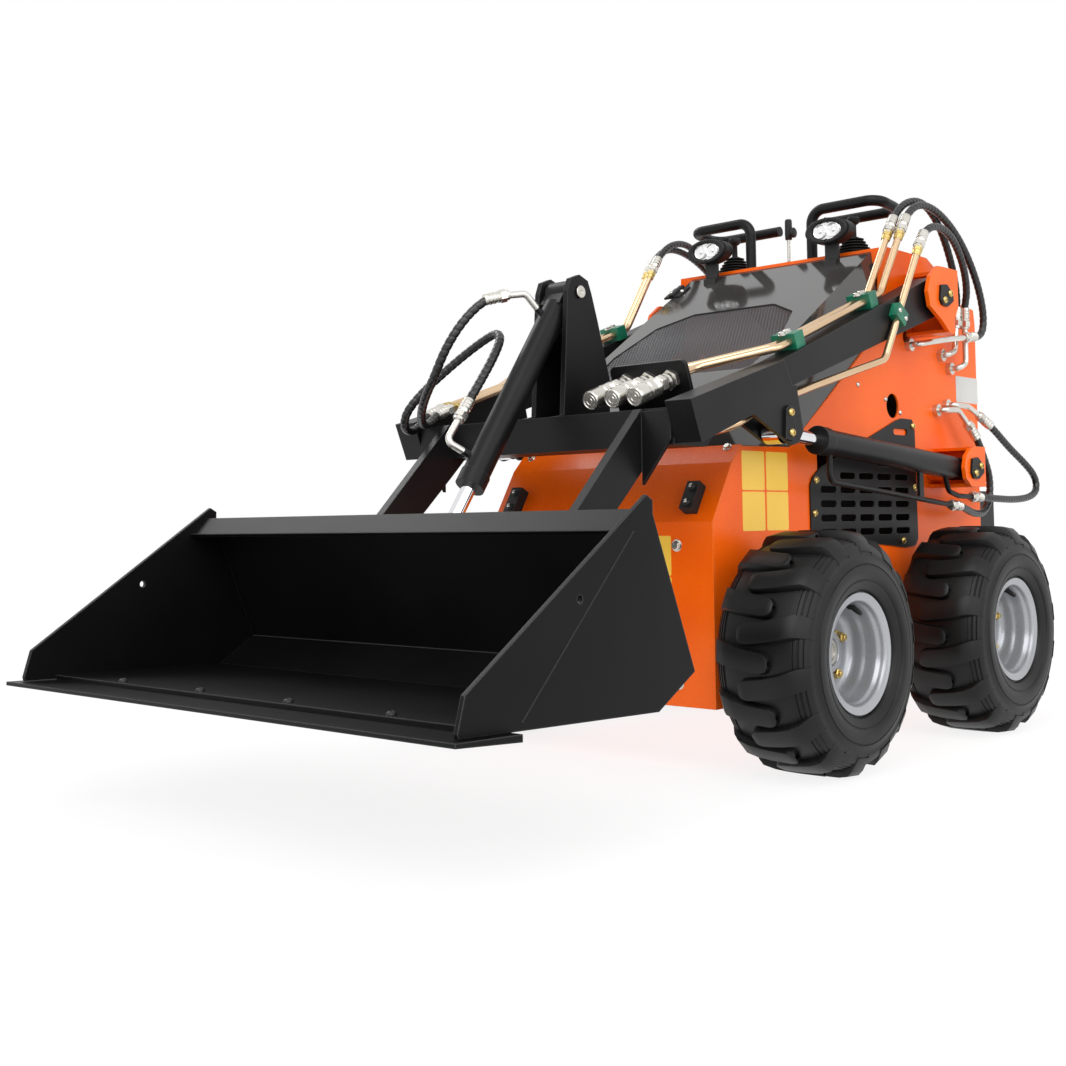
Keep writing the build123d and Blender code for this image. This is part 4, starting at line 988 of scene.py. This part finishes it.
# %% Union nuts on the lines' tops, and clamp bolts
union = joined([
    lathe([(-0.002, 0.0), (-0.002, 0.0104), (-0.001, 0.0116), (0.013, 0.0116), (0.0142, 0.0104),
           (0.0142, 0.0)], steps=6),
    lathe([(0.0135, 0.0), (0.0135, 0.01), (0.015, 0.0108), (0.023, 0.0104), (0.0245, 0.0094),
           (0.026, 0.009), (0.026, 0.0)], steps=24)])
# Where each line ends, and a place further down the line.
LINE_ENDS = [((0.344, 0.431, 1.145), (0.344, 0.322, 0.98)),
             ((0.368, 0.444, 1.146), (0.368, 0.34, 0.988)),
             ((0.401, 0.465, 1.108), (0.401, 0.294, 0.833)),
             ((-0.344, 0.431, 1.145), (-0.344, 0.322, 0.98)),
             ((-0.368, 0.444, 1.146), (-0.368, 0.34, 0.988)),
             ((-0.304, -0.34, 0.736), (-0.304, -0.15, 0.8)),
             ((-0.326, -0.345, 0.738), (-0.326, -0.165, 0.798))]
unions = []
for tip, inner in LINE_ENDS:
    toward = Vector(inner) - Vector(tip)
    unions.append(copied(union, pointing(Vector(tip) + toward.normalized() * 0.004, toward)))
forget(union)
settle(joined(unions), "union_nuts", "boom", material=BRASS)

# %% Bolts of the clamps, on the arms' tops and on the left arm's side
KNEE_Y, KNEE_Z = -0.104, 0.801          # where the arm's top edge bends down
TOP_SLOPE = (LIFT_PIVOT.z + 0.042 - KNEE_Z) / (LIFT_PIVOT.y - 0.0163 - KNEE_Y)
along_arm = Vector((0.0, 1.0, TOP_SLOPE)).normalized()
off_arm = Vector((0.0, -along_arm.z, along_arm.y))
for s in (1, -1):
    for y in (0.282, -0.02):
        seat = Vector((s * 0.356, y, KNEE_Z + (y - KNEE_Y) * TOP_SLOPE)) + off_arm * 0.0333
        for step in (0.009, -0.009):
            bolt("m8", seat + along_arm * step, off_arm, "boom", "silver")
side_clamp = Vector((0.4123, 0.359, 0.9375))
for step in (0.015, -0.015):
    bolt("small", side_clamp + Vector((0.0, -0.849, 0.528)) * step, (1, 0, 0), "boom", "silver")

# %% [markdown]
# ## Small trim
# Rubber buffers are held by a sunk screw at each end. A black latch holds the hood's upper edge.
# The mast's pin shows a ground steel end. The cutting edge is bolted under the bucket's floor,
# each side plate shows a weld, and raised bars on the platform keep a wet boot from slipping.

# %% Screws in the rubber buffers and the cutting edge, bolts of the rear panel
along_buffer, off_buffer = Vector((0, 0.5045, 0.8634)), Vector((0, -0.8634, 0.5045))
for s in (1, -1):
    for step in (0.0175, -0.0175):
        place = Vector((s * 0.242, -0.2117, 0.5409)) + along_buffer * step
        bolt("button", place, off_buffer, "chassis", "black")
        bolt("small", place + off_buffer * 0.002, off_buffer, "chassis", "silver")
rear_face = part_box("rear_panel")[1].y
for s in (1, -1):
    for z in (0.64, 0.78, 0.92):
        bolt("m8", (s * 0.262, rear_face - 0.03, z), (0, 1, 0), "chassis", "silver")
for x in (-0.36, -0.12, 0.12, 0.36):
    bolt("button", (x, -1.085, 0.219), (0, -0.045, 1), "bucket", "black")

# %% Weld seam across each side plate of the bucket
# The plate is two pieces butted together, and the ground weld stands just proud of the face. It is
# a slim rod here, sunk by most of its thickness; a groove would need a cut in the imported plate.
SEAM_R, SEAM_SUNK = 0.0018, 0.0009
seam_low, seam_high = Vector((0.0, -1.043, 0.221)), Vector((0.0, -0.799, 0.4745))
seam_run = seam_high - seam_low
lean = seam_run.to_track_quat("Z", "X").to_matrix().to_4x4()
seams = []
for s in (1, -1):
    clear()
    bpy.ops.mesh.primitive_cylinder_add(vertices=16, radius=SEAM_R, depth=seam_run.length)
    seam_x = Vector((s * (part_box("bucket_sides")[1].x - SEAM_SUNK), 0, 0))
    seam = bpy.context.object
    seam.matrix_world = Matrix.Translation((seam_low + seam_high) / 2 + seam_x) @ lean
    seams.append(seam)
both_seams = joined(seams)
smooth(both_seams, 30)
settle(both_seams, "side_plate_seams", "bucket", "bucket_black")

# %% Ground ends of the mast's pin
pin_end = lathe([(-0.001, 0.0), (-0.001, 0.0128), (0.0006, 0.0128), (0.0014, 0.0116),
                 (0.0014, 0.0042), (0.0007, 0.0034), (0.0007, 0.0)], steps=36, soft=30)
ends = []
for s in (1, -1):
    ends.append(copied(pin_end, pointing((s * 0.049, MAST_PIVOT.y, MAST_PIVOT.z), (s, 0, 0))))
forget(pin_end)
settle(joined(ends), "mast_pin_ends", "boom", "silver_steel")

# %% Hood latch: a folded plate with two screws
hood_off = HOOD_TILT.to_3x3() @ Vector((0, 0, 1))
clear()
bpy.ops.mesh.primitive_cube_add(size=1.0, scale=(0.05, 0.058, 0.006))
latch = bpy.context.object
editing("SELECT")
bpy.ops.mesh.subdivide(number_cuts=2)
edit_top(latch, 0.01)
bpy.ops.mesh.extrude_region_move(TRANSFORM_OT_translate={"value": (0.0, 0.0, 0.006)})
bpy.ops.object.mode_set(mode="OBJECT")
applied(latch, "BEVEL", width=0.0018, segments=2, limit_method="ANGLE", angle_limit=radians(40))
smooth(latch, 40)
latch_place = Vector((-0.262, 0.43, 1.072)) + hood_off * 0.004
latch.matrix_world = Matrix.Translation(latch_place) @ HOOD_TILT
settle(latch, "hood_latch", "chassis", "black_paint")
for x in (0.017, -0.017):
    place = latch_place + Vector((x, 0, 0)) + hood_off * 0.003
    bolt("small", place, hood_off, "chassis", "silver")

# %% Raised bars on the standing platform
clear()
bpy.ops.mesh.primitive_cube_add(size=1.0, scale=(0.034, 0.0065, 0.004))
bar = bpy.context.object
editing()
edit_top(bar, 1.0)
bpy.ops.transform.resize(value=(0.72, 0.45, 1.0))
bpy.ops.object.mode_set(mode="OBJECT")
BAR_GAP_X, BAR_GAP_Y, TREAD_Z = 0.05, 0.032, 0.2098
step_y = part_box("operator_platform")[0].y
bars = []
for row_number in range(6):
    for column in range(10):
        x = -0.225 + BAR_GAP_X * column
        y = step_y + 0.03 + BAR_GAP_Y * row_number
        turn = radians(45.0 if (row_number + column) % 2 else -45.0)
        spot = at(x, y, TREAD_Z)
        bars.append(copied(bar, spot @ Matrix.Rotation(turn, 4, "Z")))
forget(bar)
print("tread bars", len(bars))
settle(joined(bars), "platform_tread", "chassis", "black_paint")

# %% [markdown]
# ## Close
# The fasteners noted on the way are joined by body and finish.

# %% Fasteners joined
BOLT_FINISH = {"brass": BRASS, "silver": FINISHES["silver_steel"], "black": FINISHES["lamp_black"]}
for (body, tone_name), group in bolt_groups.items():
    settle(joined(group), "bolts_%s_%s" % (body, tone_name), body, material=BOLT_FINISH[tone_name])
forget(*BOLTS.values())
